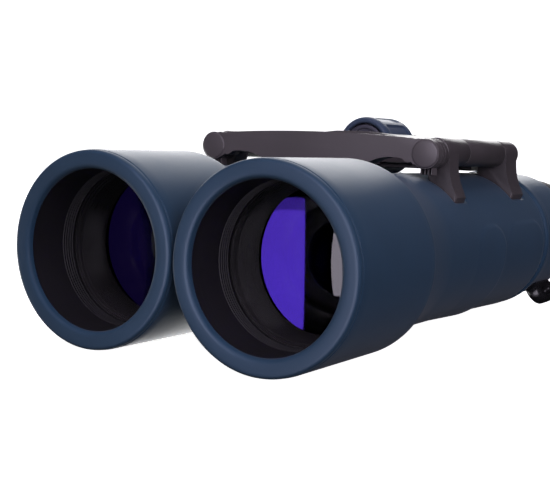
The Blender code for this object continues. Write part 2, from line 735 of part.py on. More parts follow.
def make_wheel_grip(wheel, cap_end):
    """Rubber ring, with a lip round the cap."""
    inner = WHEEL_RADIUS - GRIP_RING_WALL
    lip = WHEEL_RADIUS - GRIP_LIP
    edge = WHEEL_EDGE
    outline = [(lip, WHEEL_START_Y)]
    outline += arc((WHEEL_RADIUS - edge, WHEEL_START_Y + edge), edge, math.radians(-90), 0, 3)
    outline += arc((WHEEL_RADIUS - edge, WHEEL_END_Y - edge), edge, 0, math.radians(90), 2)
    outline += [(inner, WHEEL_END_Y), (inner, cap_end + FIT), (lip, cap_end)]
    turned("focus_grip", outline, INNER_SIDES, "blue_rubber", wheel)


def make_yoke(yoke):
    """Nut on the spindle, with a bar whose ends sit in the grooves of the rods."""
    half = YOKE_THICKNESS / 2
    reach = HINGE_X - ROD_GROOVE_RADIUS - FIT
    bar = block(
        "focus_yoke",
        (-reach, YOKE_Y - half, HINGE_Z - YOKE_HEIGHT / 2),
        (reach, YOKE_Y + half, HINGE_Z + YOKE_HEIGHT / 2),
        "brass",
        yoke,
    )
    nut = rod("join_nut", NUT_RADIUS, YOKE_Y - half, YOKE_Y + half, (0, WHEEL_Z), yoke, "brass", SMALL_SIDES)
    join(bar, nut)
    cut(bar, rod("cut_nut", SHAFT_HOLE, YOKE_Y - 2 * half, YOKE_Y + 2 * half, (0, WHEEL_Z), yoke))


def make_focus_rod(side, yoke):
    """Rod in the hinge pin, with a groove for the yoke and one for the lens lever."""
    start = YOKE_Y - ROD_FRONT_END
    end = LEVER_Y + ROD_REAR_END
    yoke_half = YOKE_THICKNESS / 2 + FIT
    lever_half = LEVER_SIZE / 2 + FIT
    outline = [
        (0.0, start),
        (ROD_RADIUS, start),
        (ROD_RADIUS, YOKE_Y - yoke_half),
        (ROD_GROOVE_RADIUS, YOKE_Y - yoke_half),
        (ROD_GROOVE_RADIUS, YOKE_Y + yoke_half),
        (ROD_RADIUS, YOKE_Y + yoke_half),
        (ROD_RADIUS, LEVER_Y - lever_half),
        (ROD_GROOVE_RADIUS, LEVER_Y - lever_half),
        (ROD_GROOVE_RADIUS, LEVER_Y + lever_half),
        (ROD_RADIUS, LEVER_Y + lever_half),
        (ROD_RADIUS, end),
        (0.0, end),
    ]
    centre = (side * HINGE_X, HINGE_Z)
    turned("focus_rod_" + side_word(side), outline, SMALL_SIDES, "steel", yoke, centre)


def lever_box(name, side, half, start, end, low, high, parent):
    """A bar from the barrel axis towards the hinge axis, between two distances from the barrel axis."""
    bar = block(name, (-half, start, low), (half, end, high), "brass", parent)
    bar.rotation_euler = (0.0, side * (math.pi / 2 - LEVER_ANGLE), 0.0)
    return bar


def make_focus_carrier(side, barrel):
    """Ring that carries the moving lens, with the lever that reaches up into the hinge."""
    word = side_word(side)
    outer = CHASSIS_BORE - SLIDE_FIT
    half = CARRIER_LENGTH / 2
    bore = FOCUS_LENS_RADIUS + FIT
    outline = [
        (bore, LEVER_Y - half),
        (outer, LEVER_Y - half),
        (outer, LEVER_Y + half),
        (bore - CARRIER_LIP, LEVER_Y + half),
        (bore - CARRIER_LIP, LEVER_Y + half - CARRIER_LIP),
        (bore, LEVER_Y + half - CARRIER_LIP),
    ]
    carrier = turned("focus_carrier_" + word, outline, INNER_SIDES, "brass", barrel)
    lever = lever_box(
        "join_lever_" + word,
        side,
        LEVER_SIZE / 2,
        LEVER_Y - LEVER_SIZE / 2,
        LEVER_Y + LEVER_SIZE / 2,
        outer - LEVER_ROOT,
        HINGE_DISTANCE - ROD_GROOVE_RADIUS - FIT,
        barrel,
    )
    join(carrier, lever)
    front_y = LEVER_Y - CARRIER_LENGTH / 4
    back_y = LEVER_Y + half - CARRIER_LIP - FIT
    lens = lens_face(front_y, -FOCUS_CURVE, FOCUS_LENS_RADIUS, 3)
    lens += [(FOCUS_LENS_RADIUS, back_y), (0.0, back_y)]
    turned("focusing_lens_" + word, lens, INNER_SIDES, "clear_glass", barrel)


# ---------------------------------------------------------------- barrels


def make_front_armour(side, barrel):
    """Rubber hood, shoulder and grip in one sleeve, open where the hinge legs stand."""
    word = side_word(side)
    edge = RIM_ROUNDING
    step_y = FRONT_ARMOUR_END_Y - BAND_WIDTH
    shoulder_inner = GRIP_RADIUS - ARMOUR_WALL
    hood_inner = HOOD_RADIUS - HOOD_WALL
    outer = arc((HOOD_RADIUS - edge, edge), edge, math.radians(-90), 0, 3)
    outer += [
        (HOOD_REAR_RADIUS, HOOD_REAR_Y - HOOD_REAR_EDGE),
        (HOOD_REAR_RADIUS - HOOD_REAR_STEP, HOOD_REAR_Y),
        (GRIP_RADIUS + SHOULDER_FILLET / 3, SHOULDER_END_Y - SHOULDER_FILLET),
        (GRIP_RADIUS, SHOULDER_END_Y),
        (GRIP_RADIUS, step_y - BAND_RAMP[0]),
        (BAND_RADIUS, step_y + BAND_RAMP[1]),
        (BAND_RADIUS, FRONT_ARMOUR_END_Y - BAND_EDGE),
        (BAND_RADIUS - BAND_EDGE, FRONT_ARMOUR_END_Y),
    ]
    inner = [
        (shoulder_inner, FRONT_ARMOUR_END_Y),
        (shoulder_inner, SHOULDER_END_Y - SHOULDER_BACKSET),
        (hood_inner, HOOD_REAR_Y),
        (hood_inner, RIM_DEPTH),
        (RIM_OPENING, RIM_DEPTH),
        (RIM_OPENING, RIM_BEVEL),
        (RIM_OPENING + RIM_BEVEL, 0.0),
    ]
    armour = turned("front_armour_" + word, outer + inner, OUTER_SIDES, "blue_rubber", barrel)
    for label, leg, inner_angle in leg_rows():
        cut(armour, wedge(
            "cut_armour_" + label + "_" + word,
            side,
            LEG_FOOT_ANGLE - FOOT_MARGIN,
            inner_angle + FOOT_INNER_MARGIN,
            leg[0] - FIT,
            leg[1] + FIT,
            barrel,
        ))


def leg_rows():
    """Name, extent along the barrel and inner foot angle of each leg."""
    return (
        ("front_leg", FRONT_LEG, FRONT_LEG_INNER_ANGLE),
        ("rear_leg", REAR_LEG, REAR_LEG_INNER_ANGLE),
    )


def wedge(name, side, low, high, start, end, parent):
    """A slice of the barrel's wall between two angles above the outward direction."""
    steps = 4
    angles = [low + (high - low) * step / steps for step in range(steps + 1)]
    inside = [polar(CHASSIS_OUTER - OVERREACH, angle) for angle in angles]
    outside = [polar(GRIP_RADIUS + 4 * OVERREACH, angle) for angle in angles]
    outline = mirrored(inside + outside[::-1], side)
    return extruded(name, outline, start, end, "blue_rubber", parent)


def leg_outline(inner_top, inner_angle):
    """Section of a hinge leg: the collar's round top, a bowed outer flank and a foot in the tube's wall."""
    centre = (HINGE_OFFSET, HINGE_Z + SLEEVE_RISE)
    outer_x = HINGE_OFFSET + SLEEVE_RADIUS
    flank = [
        (outer_x + 0.15 * MM, HINGE_Z - 3.2 * MM),
        (outer_x + 0.75 * MM, HINGE_Z - 7.2 * MM),
        polar(GRIP_RADIUS + 2.03 * MM, LEG_FOOT_ANGLE + math.radians(6.5)),
        polar(GRIP_RADIUS + 1.42 * MM, LEG_FOOT_ANGLE + math.radians(2.35)),
    ]
    sunk = CHASSIS_OUTER - LEG_SINK
    steps = 4
    foot = [
        polar(sunk, LEG_FOOT_ANGLE + (inner_angle - LEG_FOOT_ANGLE) * step / steps)
        for step in range(steps + 1)
    ]
    crown = arc(centre, SLEEVE_RADIUS, inner_top, 0.0, 8)
    return crown + flank + foot


def make_chassis(side, barrel):
    """Black tube of the barrel, cast with the two hinge legs and their collars."""
    word = side_word(side)
    outline = [
        (CHASSIS_BORE, CHASSIS_START_Y),
        (CHASSIS_OUTER, CHASSIS_START_Y),
        (CHASSIS_OUTER, CHASSIS_END_Y),
        (CHASSIS_BORE, CHASSIS_END_Y),
    ]
    chassis = turned("barrel_chassis_" + word, outline, INNER_SIDES + 4, "black_metal", barrel)
    inner_tops = {"front_leg": math.radians(225), "rear_leg": math.radians(190)}
    for label, leg, inner_angle in leg_rows():
        outline = mirrored(leg_outline(inner_tops[label], inner_angle), side)
        join(chassis, extruded("join_" + label + "_" + word, outline, leg[0], leg[1], "black_metal", barrel))
    centre = (side * HINGE_OFFSET, HINGE_Z + SLEEVE_RISE)
    join(chassis, rod(
        "join_front_collar_" + word, SLEEVE_RADIUS, *FRONT_COLLAR, centre, barrel, "black_metal", INNER_SIDES
    ))
    start, end = REAR_COLLAR
    dome = arc((SLEEVE_RADIUS - COLLAR_ROUNDING, end - COLLAR_ROUNDING), COLLAR_ROUNDING, 0, math.pi / 2, 4)
    outline = [(0.0, start), (SLEEVE_RADIUS, start)] + dome + [(0.0, end)]
    join(chassis, turned("join_rear_collar_" + word, outline, INNER_SIDES, "black_metal", barrel, centre))
    hinge = (side * HINGE_OFFSET, HINGE_Z)
    cut(chassis, rod(
        "cut_hinge_bore_" + word, PIN_HOLE, FRONT_COLLAR[0] - OVERREACH, PIN_END_Y + FIT, hinge, barrel
    ))
    cut(chassis, lever_box(
        "cut_lever_channel_" + word,
        side,
        LEVER_SIZE / 2 + FIT,
        LEVER_SLOT[0],
        LEVER_SLOT[1],
        CHASSIS_BORE - LEVER_ROOT,
        HINGE_DISTANCE,
        barrel,
    ))


def make_objective_tube(side, barrel):
    """Black front tube: straight in the hood, then narrowing to a spigot in the chassis."""
    seat_y = lens_back_y() + FIT
    groove = SEAL_GROOVE_WIDTH / 2
    groove_radius = SPIGOT_RADIUS - SEAL_THICKNESS - FIT
    outline = [
        (TUBE_BORE, RIM_DEPTH + FIT),
        (TUBE_OUTER, RIM_DEPTH + FIT),
        (TUBE_OUTER, HOOD_REAR_Y - 2 * FIT),
        (CHASSIS_OUTER, SHOULDER_END_Y - SHOULDER_BACKSET - 2 * FIT),
        (CHASSIS_OUTER, CHASSIS_START_Y - FIT),
        (SPIGOT_RADIUS, CHASSIS_START_Y - FIT),
        (SPIGOT_RADIUS, SEAL_Y - groove),
        (groove_radius, SEAL_Y - groove),
        (groove_radius, SEAL_Y + groove),
        (SPIGOT_RADIUS, SEAL_Y + groove),
        (SPIGOT_RADIUS, TUBE_END_Y),
        (TUBE_THROAT, TUBE_END_Y),
        (TUBE_THROAT, SHOULDER_END_Y),
        (TUBE_BORE - LENS_SEAT_STEP, seat_y),
        (TUBE_BORE, seat_y),
    ]
    turned("objective_tube_" + side_word(side), outline, OUTER_SIDES - 4, "black_metal", barrel)


def make_seal(side, barrel):
    """O-ring between the front tube and the chassis."""
    small = SEAL_THICKNESS / 2
    centre = (SPIGOT_RADIUS - small, SEAL_Y)
    outline = arc(centre, small, 0, math.tau * 5 / 6, 5)
    turned("barrel_seal_" + side_word(side), outline, INNER_SIDES, "black_rubber", barrel)


def crown_edge_y():
    """Where the front glass's face meets its edge."""
    return LENS_VERTEX_Y + sag(FRONT_CURVE, LENS_RADIUS)


def lens_back_y():
    """The flat back of the objective's second glass."""
    return crown_edge_y() + CROWN_EDGE + FLINT_EDGE


def make_objective(side, barrel):
    """The two objective glasses and the ring that holds them in the tube."""
    word = side_word(side)
    edge_y = crown_edge_y() + CROWN_EDGE
    bulge = sag(MIDDLE_CURVE, LENS_RADIUS)
    front = lens_face(LENS_VERTEX_Y, FRONT_CURVE, LENS_RADIUS, 4)
    back = lens_face(edge_y + bulge, -MIDDLE_CURVE, LENS_RADIUS, 4)
    turned("objective_crown_" + word, front + back[::-1], INNER_SIDES, "coated_glass", barrel)
    back = [(radius, y + FIT) for radius, y in back]
    flint = back + [(LENS_RADIUS, lens_back_y()), (0.0, lens_back_y())]
    turned("objective_flint_" + word, flint, INNER_SIDES, "clear_glass", barrel)
    outer = TUBE_BORE - FIT
    rear_y = LENS_VERTEX_Y + sag(FRONT_CURVE, RING_THROAT) - FIT
    outline = [
        (RING_MOUTH, RING_FRONT_Y),
        (outer, RING_FRONT_Y),
        (outer, rear_y),
        (RING_THROAT, rear_y),
        (RING_THROAT, rear_y - RING_LIP),
    ]
    turned("objective_ring_" + word, outline, INNER_SIDES + 4, "black_metal", barrel)


def make_rear_armour(side, barrel):
    """Rubber sleeve round the prism body, open at the strap lug."""
    word = side_word(side)
    edge = REAR_ROUNDING
    inner = REAR_BODY_RADIUS + FIT
    outline = [
        (inner, REAR_START_Y),
        (REAR_RADIUS - REAR_EDGE, REAR_START_Y),
        (REAR_RADIUS, REAR_START_Y + REAR_FRONT_EDGE),
    ]
    outline += arc((REAR_RADIUS - edge, REAR_END_Y - edge), edge, 0, math.radians(75), 3)
    outline += [(inner, REAR_END_Y)]
    armour = turned("rear_armour_" + word, outline, OUTER_SIDES, "blue_rubber", barrel)
    half = LUG_THICKNESS / 2 + FIT
    pocket = block(
        "cut_lug_" + word,
        (REAR_BODY_RADIUS - 2 * OVERREACH, LUG_START_Y - FIT, -half),
        (REAR_RADIUS + 3 * OVERREACH, LUG_START_Y + LUG_LENGTH + FIT, half),
        "blue_rubber",
        barrel,
    )
    pocket.rotation_euler = (0.0, lug_turn(side), 0.0)
    cut(armour, pocket)


def lug_turn(side):
    """Turn about Y that points +X at the lug, low on the outer side."""
    return LUG_ANGLE if side > 0 else math.pi - LUG_ANGLE


def make_strap_lug(side, barrel):
    """Lug with a slot for a strap, standing on the prism body."""
    word = side_word(side)
    low = REAR_BODY_RADIUS + FIT
    end = LUG_START_Y + LUG_LENGTH
    corner = LUG_CORNER
    outline = [(low, LUG_START_Y)]
    outline += arc((LUG_RADIUS - corner, LUG_START_Y + corner), corner, -math.pi / 2, 0, 4)
    outline += arc((LUG_RADIUS - corner, end - corner), corner, 0, math.pi / 2, 4)
    outline += [(low, end)]
    half = LUG_THICKNESS / 2
    lug = extruded("strap_lug_" + word, outline, -half, half, "black_plastic", barrel, axis="Z")
    middle = LUG_START_Y + LUG_LENGTH / 2
    top = LUG_RADIUS - LUG_RIM
    small = LUG_SLOT_HEIGHT / 2
    reach = LUG_SLOT_LENGTH / 2 - small
    slot = arc((top - small, middle + reach), small, 0, math.pi, 4)
    slot += arc((top - small, middle - reach), small, math.pi, math.tau, 4)
    cutter = extruded("cut_slot_" + word, slot, -2 * half, 2 * half, "black_plastic", barrel, axis="Z")
    lug.rotation_euler = (0.0, lug_turn(side), 0.0)
    cutter.rotation_euler = (0.0, lug_turn(side), 0.0)
    cut(lug, cutter)


def make_ocular_body(side, barrel):
    """Body that holds the prisms, with the neck that the eyepiece pieces ride on."""
    outline = [
        (SPIGOT_RADIUS, CHASSIS_END_Y - BODY_SPIGOT_LENGTH),
        (SPIGOT_RADIUS, CHASSIS_END_Y + FIT),
        (GROOVE_RADIUS, CHASSIS_END_Y + FIT),
        (GROOVE_RADIUS, REAR_START_Y - FIT),
        (REAR_BODY_RADIUS, REAR_START_Y - FIT),
        (REAR_BODY_RADIUS, REAR_END_Y - BODY_STEP_BACKSET),
        (NECK_RADIUS, REAR_END_Y - BODY_STEP_BACKSET),
        (NECK_RADIUS, NECK_END_Y),
        (EYEPIECE_BORE, NECK_END_Y),
        (EYEPIECE_BORE, PRISM_CELL_END_Y + FIT),
        (PRISM_CELL_RADIUS + FIT, PRISM_CELL_END_Y + FIT),
        (PRISM_CELL_RADIUS + FIT, PRISM_CELL_START_Y - FIT),
        (SPIGOT_RADIUS - BODY_SPIGOT_WALL, CHASSIS_END_Y - BODY_STEP_BACKSET),
        (SPIGOT_RADIUS - BODY_SPIGOT_WALL, CHASSIS_END_Y - BODY_SPIGOT_LENGTH),
    ]
    turned("ocular_body_" + side_word(side), outline, INNER_SIDES + 4, "black_plastic", barrel)


def make_prisms(side, barrel):
    """Cell with the two prisms that turn the image upright."""
    word = side_word(side)
    window = PRISM_CELL_BORE - PRISM_WINDOW_EDGE
    lip_y = PRISM_CELL_START_Y + PRISM_CELL_WALL
    outline = [
        (window, PRISM_CELL_START_Y),
        (PRISM_CELL_RADIUS, PRISM_CELL_START_Y),
        (PRISM_CELL_RADIUS, PRISM_CELL_END_Y),
        (PRISM_CELL_BORE, PRISM_CELL_END_Y),
        (PRISM_CELL_BORE, lip_y),
        (window, lip_y),
    ]
    turned("prism_cell_" + word, outline, INNER_SIDES, "black_metal", barrel)
    half = PRISM_CELL_BORE * PRISM_SHARE
    start = lip_y + FIT
    end = PRISM_CELL_END_Y - FIT
    first = [(-half, start), (half, start), (half, start + HALF_PRISM_TOE), (-half, start + HALF_PRISM_HEEL)]
    second = [
        (half, start + HALF_PRISM_TOE + PRISM_AIR),
        (half, end - ROOF_DEPTH),
        (0.0, end),
        (-half, end - ROOF_DEPTH),
        (-half, start + HALF_PRISM_HEEL + PRISM_AIR),
    ]
    for name, outline in (("half_prism_", first), ("roof_prism_", second)):
        prism = extruded(name + word, outline, -half, half, "clear_glass", barrel, axis="Z")
        prism.rotation_euler = (0.0, math.pi / 2, 0.0)


def make_eyepiece(side, barrel):
    """Sleeve with the field lens and the eye lens."""
    word = side_word(side)
    inner = CELL_RADIUS - CELL_WALL
    middle_start = CELL_START_Y + FIELD_SEAT
    middle_end = CELL_END_Y - EYE_SEAT
    outline = [
        (inner, CELL_START_Y),
        (CELL_RADIUS, CELL_START_Y),
        (CELL_RADIUS, CELL_END_Y),
        (inner, CELL_END_Y),
        (inner, middle_end),
        (inner - CELL_STEP, middle_end),
        (inner - CELL_STEP, middle_start),
        (inner, middle_start),
    ]
    turned("ocular_cell_" + word, outline, INNER_SIDES, "black_plastic", barrel)
    radius = inner - FIT
    back = middle_start - FIT
    field = lens_face(CELL_START_Y + FIELD_VERTEX, FIELD_CURVE, radius, 3) + [(radius, back), (0.0, back)]
    turned("field_lens_" + word, field, INNER_SIDES, "clear_glass", barrel)
    front = middle_end + FIT
    eye = [(0.0, front), (radius, front)] + lens_face(CELL_END_Y - EYE_VERTEX, -EYE_CURVE, radius, 3)[::-1]
    turned("eye_lens_" + word, eye, INNER_SIDES, "coated_glass", barrel)


def make_dioptre(side, barrel):
    """Ribbed dioptre ring on the right barrel, and the plain collar that matches it on the left."""
    inner = NECK_RADIUS + FIT
    end = COLLAR_Y + DIOPTRE_WIDTH
    edge = DIOPTRE_EDGE
    outline = [
        (inner, COLLAR_Y),
        (DIOPTRE_RADIUS - edge, COLLAR_Y),
        (DIOPTRE_RADIUS, COLLAR_Y + edge),
        (DIOPTRE_RADIUS, end - edge),
        (DIOPTRE_RADIUS - edge, end),
        (inner, end),
    ]
    name = "ocular_collar" if side > 0 else "dioptre_ring"
    turned(name, outline, OUTER_SIDES, "black_plastic", barrel)


def make_eyecup(side, barrel):
    """Click ring on the neck, and the rubber eyecup that slides out over it."""
    word = side_word(side)
    inner = NECK_RADIUS + FIT
    outer = inner + CLICK_RING_WALL
    outline = [
        (inner, CLICK_RING_Y),
        (outer, CLICK_RING_Y),
        (outer, NECK_END_Y),
        (inner, NECK_END_Y),
    ]
    turned("eyecup_ring_" + word, outline, INNER_SIDES, "black_metal", barrel)
    bore = outer + SLIDE_FIT
    lip_y = NECK_END_Y + EYECUP_LIP_GAP
    edge = EYECUP_ROUNDING
    outline = [
        (bore, CLICK_RING_Y),
        (EYECUP_RADIUS, CLICK_RING_Y),
        (EYECUP_RADIUS, LENGTH - EYECUP_TAPER_LENGTH),
    ]
    outline += arc((EYECUP_RADIUS - EYECUP_TAPER - edge, LENGTH - edge), edge, 0, math.pi / 2, 3)
    outline += [
        (EYECUP_MOUTH + EYECUP_LIP_ROUNDING, LENGTH),
        (EYECUP_MOUTH, LENGTH - EYECUP_LIP_ROUNDING),
        (EYECUP_MOUTH, lip_y),
        (bore, lip_y),
    ]
    turned("eyecup_" + word, outline, INNER_SIDES + 8, "black_rubber", barrel)


def main():
    clear_scene()
    frame = empty("optical_frame", (0.0, -LENGTH / 2, WIDEST_RADIUS))
    make_front_arm(frame)
    make_housing(frame)
    make_cover(frame)
    wheel = empty("focus_axis", (0.0, 0.0, WHEEL_Z), frame)
    make_focus_wheel(wheel)
    make_yoke(frame)
    for side in (1, -1):
        make_screw(side, frame)
        make_hinge_pin(side, frame)
        make_hinge_bush(side, frame)
        make_focus_rod(side, frame)
        word = side_word(side)
        hinge = empty("hinge_axis_" + word, (side * HINGE_X, 0.0, HINGE_Z), frame)
        barrel = empty("barrel_axis_" + word, (-side * HINGE_OFFSET, 0.0, -HINGE_Z), hinge)
        make_chassis(side, barrel)
        make_objective_tube(side, barrel)
        make_seal(side, barrel)
        make_objective(side, barrel)
        make_front_armour(side, barrel)
        make_rear_armour(side, barrel)
        make_strap_lug(side, barrel)
        make_ocular_body(side, barrel)
        make_prisms(side, barrel)
        make_focus_carrier(side, barrel)
        make_eyepiece(side, barrel)
        make_dioptre(side, barrel)
        make_eyecup(side, barrel)
    bpy.context.view_layer.update()


main()
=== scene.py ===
"""Looks of the roof-prism binoculars: rubber armour, castings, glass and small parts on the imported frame."""
import math

import bmesh
import bpy
from bpy.props import FloatProperty, FloatVectorProperty, IntProperty, PointerProperty
from mathutils import Matrix, Vector


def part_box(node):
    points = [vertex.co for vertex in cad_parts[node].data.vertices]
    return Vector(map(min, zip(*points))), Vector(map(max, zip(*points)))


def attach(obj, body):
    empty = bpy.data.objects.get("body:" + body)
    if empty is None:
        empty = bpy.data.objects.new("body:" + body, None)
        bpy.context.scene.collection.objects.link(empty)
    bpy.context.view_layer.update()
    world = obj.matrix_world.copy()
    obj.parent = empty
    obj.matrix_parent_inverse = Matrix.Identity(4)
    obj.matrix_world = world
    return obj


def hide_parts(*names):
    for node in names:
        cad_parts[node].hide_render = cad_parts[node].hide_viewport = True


bl_info = {
    "name": "Binoculars",
    "version": (1, 0, 0),
    "blender": (4, 5, 0),
    "location": "View3D > Sidebar > Binoculars",
    "description": "Builds the visible pieces of a pair of roof-prism binoculars on their frame",
    "category": "Object",
}

MM = 0.001
SIDES = (("left", 1), ("right", -1))

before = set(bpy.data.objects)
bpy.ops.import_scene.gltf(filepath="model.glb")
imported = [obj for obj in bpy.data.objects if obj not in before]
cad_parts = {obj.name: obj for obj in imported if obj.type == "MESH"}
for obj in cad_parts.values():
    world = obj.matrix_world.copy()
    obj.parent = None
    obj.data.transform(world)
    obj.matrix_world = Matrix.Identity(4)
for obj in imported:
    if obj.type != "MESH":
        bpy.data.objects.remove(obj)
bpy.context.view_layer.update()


def middle(node):
    """Centre of a frame node's box."""
    low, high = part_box(node)
    return (low + high) / 2


AXIS = {word: middle("objective_tube_" + word) for word, _ in SIDES}
HINGE = {word: middle("hinge_pin_" + word) for word, _ in SIDES}
RIM_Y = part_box("front_armour_left")[0].y
BARREL_Z = AXIS["left"].z
HINGE_Z = HINGE["left"].z
HINGE_OUT = abs(HINGE["left"].x) - abs(AXIS["left"].x)
WHEEL = middle("focus_wheel")

# Sizes in millimetres that several pieces share
PIN_BORE = 2.95
COLLAR_RISE = 0.65
ARMOUR_SIDES = 256


# ---------------------------------------------------------------- shader maths


class Value:
    """A socket, or a plain number, that adds Math nodes when it is reckoned with."""

    def __init__(self, look, source):
        self.look = look
        self.source = source

    def _math(self, operation, *others):
        return self.look.node("ShaderNodeMath", {"operation": operation}, self, *others)

    def __add__(self, other):
        return self._math("ADD", other)

    __radd__ = __add__

    def __mul__(self, other):
        return self._math("MULTIPLY", other)

    __rmul__ = __mul__

    def __sub__(self, other):
        return self._math("SUBTRACT", other)

    def __rsub__(self, other):
        return self.look.node("ShaderNodeMath", {"operation": "SUBTRACT"}, other, self)

    def between(self, low, high):
        """0 below low, 1 above high, smooth between."""
        settings = {"interpolation_type": "SMOOTHSTEP"}
        return self.look.node("ShaderNodeMapRange", settings, self, low, high, 0.0, 1.0)


class Look:
    """A Principled material in the making."""

    def __init__(self, name):
        self.material = bpy.data.materials.new(name)
        self.material.use_nodes = True
        self.tree = self.material.node_tree
        self.shader = self.tree.nodes["Principled BSDF"]
        self.place = self.node("ShaderNodeTexCoord", {}, output="Object")

    def node(self, kind, settings, *inputs, output=0, **named):
        """Add a node: settings first, then the values or links of its sockets."""
        node = self.tree.nodes.new(kind)
        for key, value in settings.items():
            setattr(node, key, value)
        pairs = list(enumerate(inputs)) + list(named.items())
        for key, value in pairs:
            socket = node.inputs[key]
            if isinstance(value, Value):
                self.tree.links.new(value.source, socket)
            else:
                socket.default_value = value
        return Value(self, node.outputs[output])

    def noise(self, scale, detail=2.0, roughness=0.5, place=None):
        named = {"Scale": scale, "Detail": detail, "Roughness": roughness}
        return self.node("ShaderNodeTexNoise", {}, place or self.place, **named)

    def stretched(self, x, y, z):
        """The piece's own coordinates, scaled along each axis."""
        return self.node("ShaderNodeVectorMath", {"operation": "MULTIPLY"}, self.place, (x, y, z))

    def part(self, axis):
        """One coordinate of the piece, in metres."""
        return self.node("ShaderNodeSeparateXYZ", {}, self.place, output=axis)

    def mix(self, amount, first, second):
        """A colour between two colours."""
        node = self.tree.nodes.new("ShaderNodeMix")
        node.data_type = "RGBA"
        for socket, value in ((node.inputs[0], amount), (node.inputs[6], first), (node.inputs[7], second)):
            if isinstance(value, Value):
                self.tree.links.new(value.source, socket)
            else:
                socket.default_value = value
        return Value(self, node.outputs[2])

    def bump(self, height, distance, strength=1.0):
        """Raise the surface by a height from 0 to 1 times a distance in metres."""
        named = {"Strength": strength, "Distance": distance, "Height": height}
        self.feed("Normal", self.node("ShaderNodeBump", {}, **named))

    def feed(self, socket, value):
        if isinstance(value, Value):
            self.tree.links.new(value.source, self.shader.inputs[socket])
        else:
            self.shader.inputs[socket].default_value = value


def rgba(colour, factor=1.0):
    return tuple(channel * factor for channel in colour) + (1.0,)


def rubber(name, colour, roughness=0.5, grain=0.00003):
    """Moulded rubber: fine matt grain, faint cloudiness and a soft sheen."""
    look = Look(name)
    cloud = look.noise(90.0, 3.0)
    fine = look.noise(3200.0, 2.0)
    look.feed("Base Color", look.mix(cloud, rgba(colour, 0.88), rgba(colour, 1.12)))
    look.feed("Roughness", roughness - 0.05 + cloud * 0.06 + fine * 0.04)
    look.feed("Sheen Weight", 0.06)
    look.feed("Specular IOR Level", 0.35)
    look.bump(fine, grain, 0.5)
    return look.material


def satin_paint(name, colour, roughness=0.42, metallic=0.0):
    """Satin paint on a casting: orange peel, slight unevenness."""
    look = Look(name)
    peel = look.noise(1500.0, 2.0)
    cloud = look.noise(60.0, 2.0)
    look.feed("Base Color", look.mix(cloud, rgba(colour, 0.85), rgba(colour, 1.18)))
    look.feed("Roughness", roughness - 0.05 + cloud * 0.1)
    look.feed("Metallic", metallic)
    look.bump(peel, 0.00003, 0.5)
    return look.material


def bore_black(name, colour, roughness=0.6):
    """Matt black inside a tube, with fine turned lines round the axis."""
    look = Look(name)
    lines = look.noise(1.0, 3.0, place=look.stretched(60.0, 5200.0, 60.0))
    cloud = look.noise(70.0, 2.0)
    look.feed("Base Color", look.mix(cloud, rgba(colour, 0.8), rgba(colour, 1.3)))
    look.feed("Roughness", roughness - 0.08 + lines * 0.16)
    look.bump(lines, 0.00003, 0.4)
    return look.material


def gloss_black(name, colour, roughness=0.22):
    """Anodised black ring, smooth enough to shine."""
    look = Look(name)
    lines = look.noise(1.0, 2.0, place=look.stretched(80.0, 4000.0, 80.0))
    look.feed("Base Color", look.mix(lines, rgba(colour, 0.8), rgba(colour, 1.25)))
    look.feed("Roughness", roughness - 0.04 + lines * 0.1)
    look.bump(lines, 0.00002, 0.3)
    return look.material


def plastic(name, colour, roughness=0.45):
    """Moulded plastic with a spark-eroded grain."""
    look = Look(name)
    grain = look.noise(2400.0, 3.0, 0.6)
    cloud = look.noise(80.0, 2.0)
    look.feed("Base Color", look.mix(cloud, rgba(colour, 0.9), rgba(colour, 1.12)))
    look.feed("Roughness", roughness - 0.04 + grain * 0.08)
    look.bump(grain, 0.00004, 0.6)
    return look.material


def turned_metal(name, colour, roughness=0.3):
    """Bare metal with turning marks along the barrel axis."""
    look = Look(name)
    marks = look.noise(1.0, 4.0, place=look.stretched(120.0, 6000.0, 120.0))
    look.feed("Base Color", look.mix(marks, rgba(colour, 0.82), rgba(colour, 1.1)))
    look.feed("Roughness", roughness - 0.08 + marks * 0.2)
    look.feed("Metallic", 1.0)
    look.bump(marks, 0.00001, 0.4)
    return look.material


def clear_glass(name, tint):
    """Polished lens glass with the faintest dust."""
    look = Look(name)
    dust = look.noise(900.0, 4.0, 0.7).between(0.62, 0.8)
    look.feed("Base Color", rgba(tint))
    look.feed("Transmission Weight", 1.0)
    look.feed("IOR", 1.5)
    look.feed("Roughness", 0.004 + dust * 0.012)
    return look.material


def coating(name, colour, edge):
    """Anti-reflection coating on a dark cell: it returns a little light, deep violet, with cloudy patches of a
    second tint.
    """
    look = Look(name)
    cloud = look.noise(40.0, 2.0)
    look.feed("Base Color", look.mix(cloud.between(0.3, 0.75), rgba(colour), rgba(edge)))
    look.feed("Metallic", 1.0)
    look.feed("Roughness", 0.03 + cloud * 0.01)
    return look.material


# ---------------------------------------------------------------- mesh makers


def add_piece(name, mesh, material, body, nodes=(), smooth_angle=38.0):
    """Turn a bmesh in frame coordinates into a piece that rides on a body and stands for frame nodes."""
    bmesh.ops.remove_doubles(mesh, verts=mesh.verts, dist=0.000001)
    bmesh.ops.recalc_face_normals(mesh, faces=mesh.faces)
    data = bpy.data.meshes.new(name)
    mesh.to_mesh(data)
    mesh.free()
    data.shade_smooth()
    data.set_sharp_from_angle(angle=math.radians(smooth_angle))
    data.materials.append(material)
    item = bpy.data.objects.new(name, data)
    bpy.context.scene.collection.objects.link(item)
    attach(item, body)
    if nodes:
        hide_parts(*nodes)
    return item


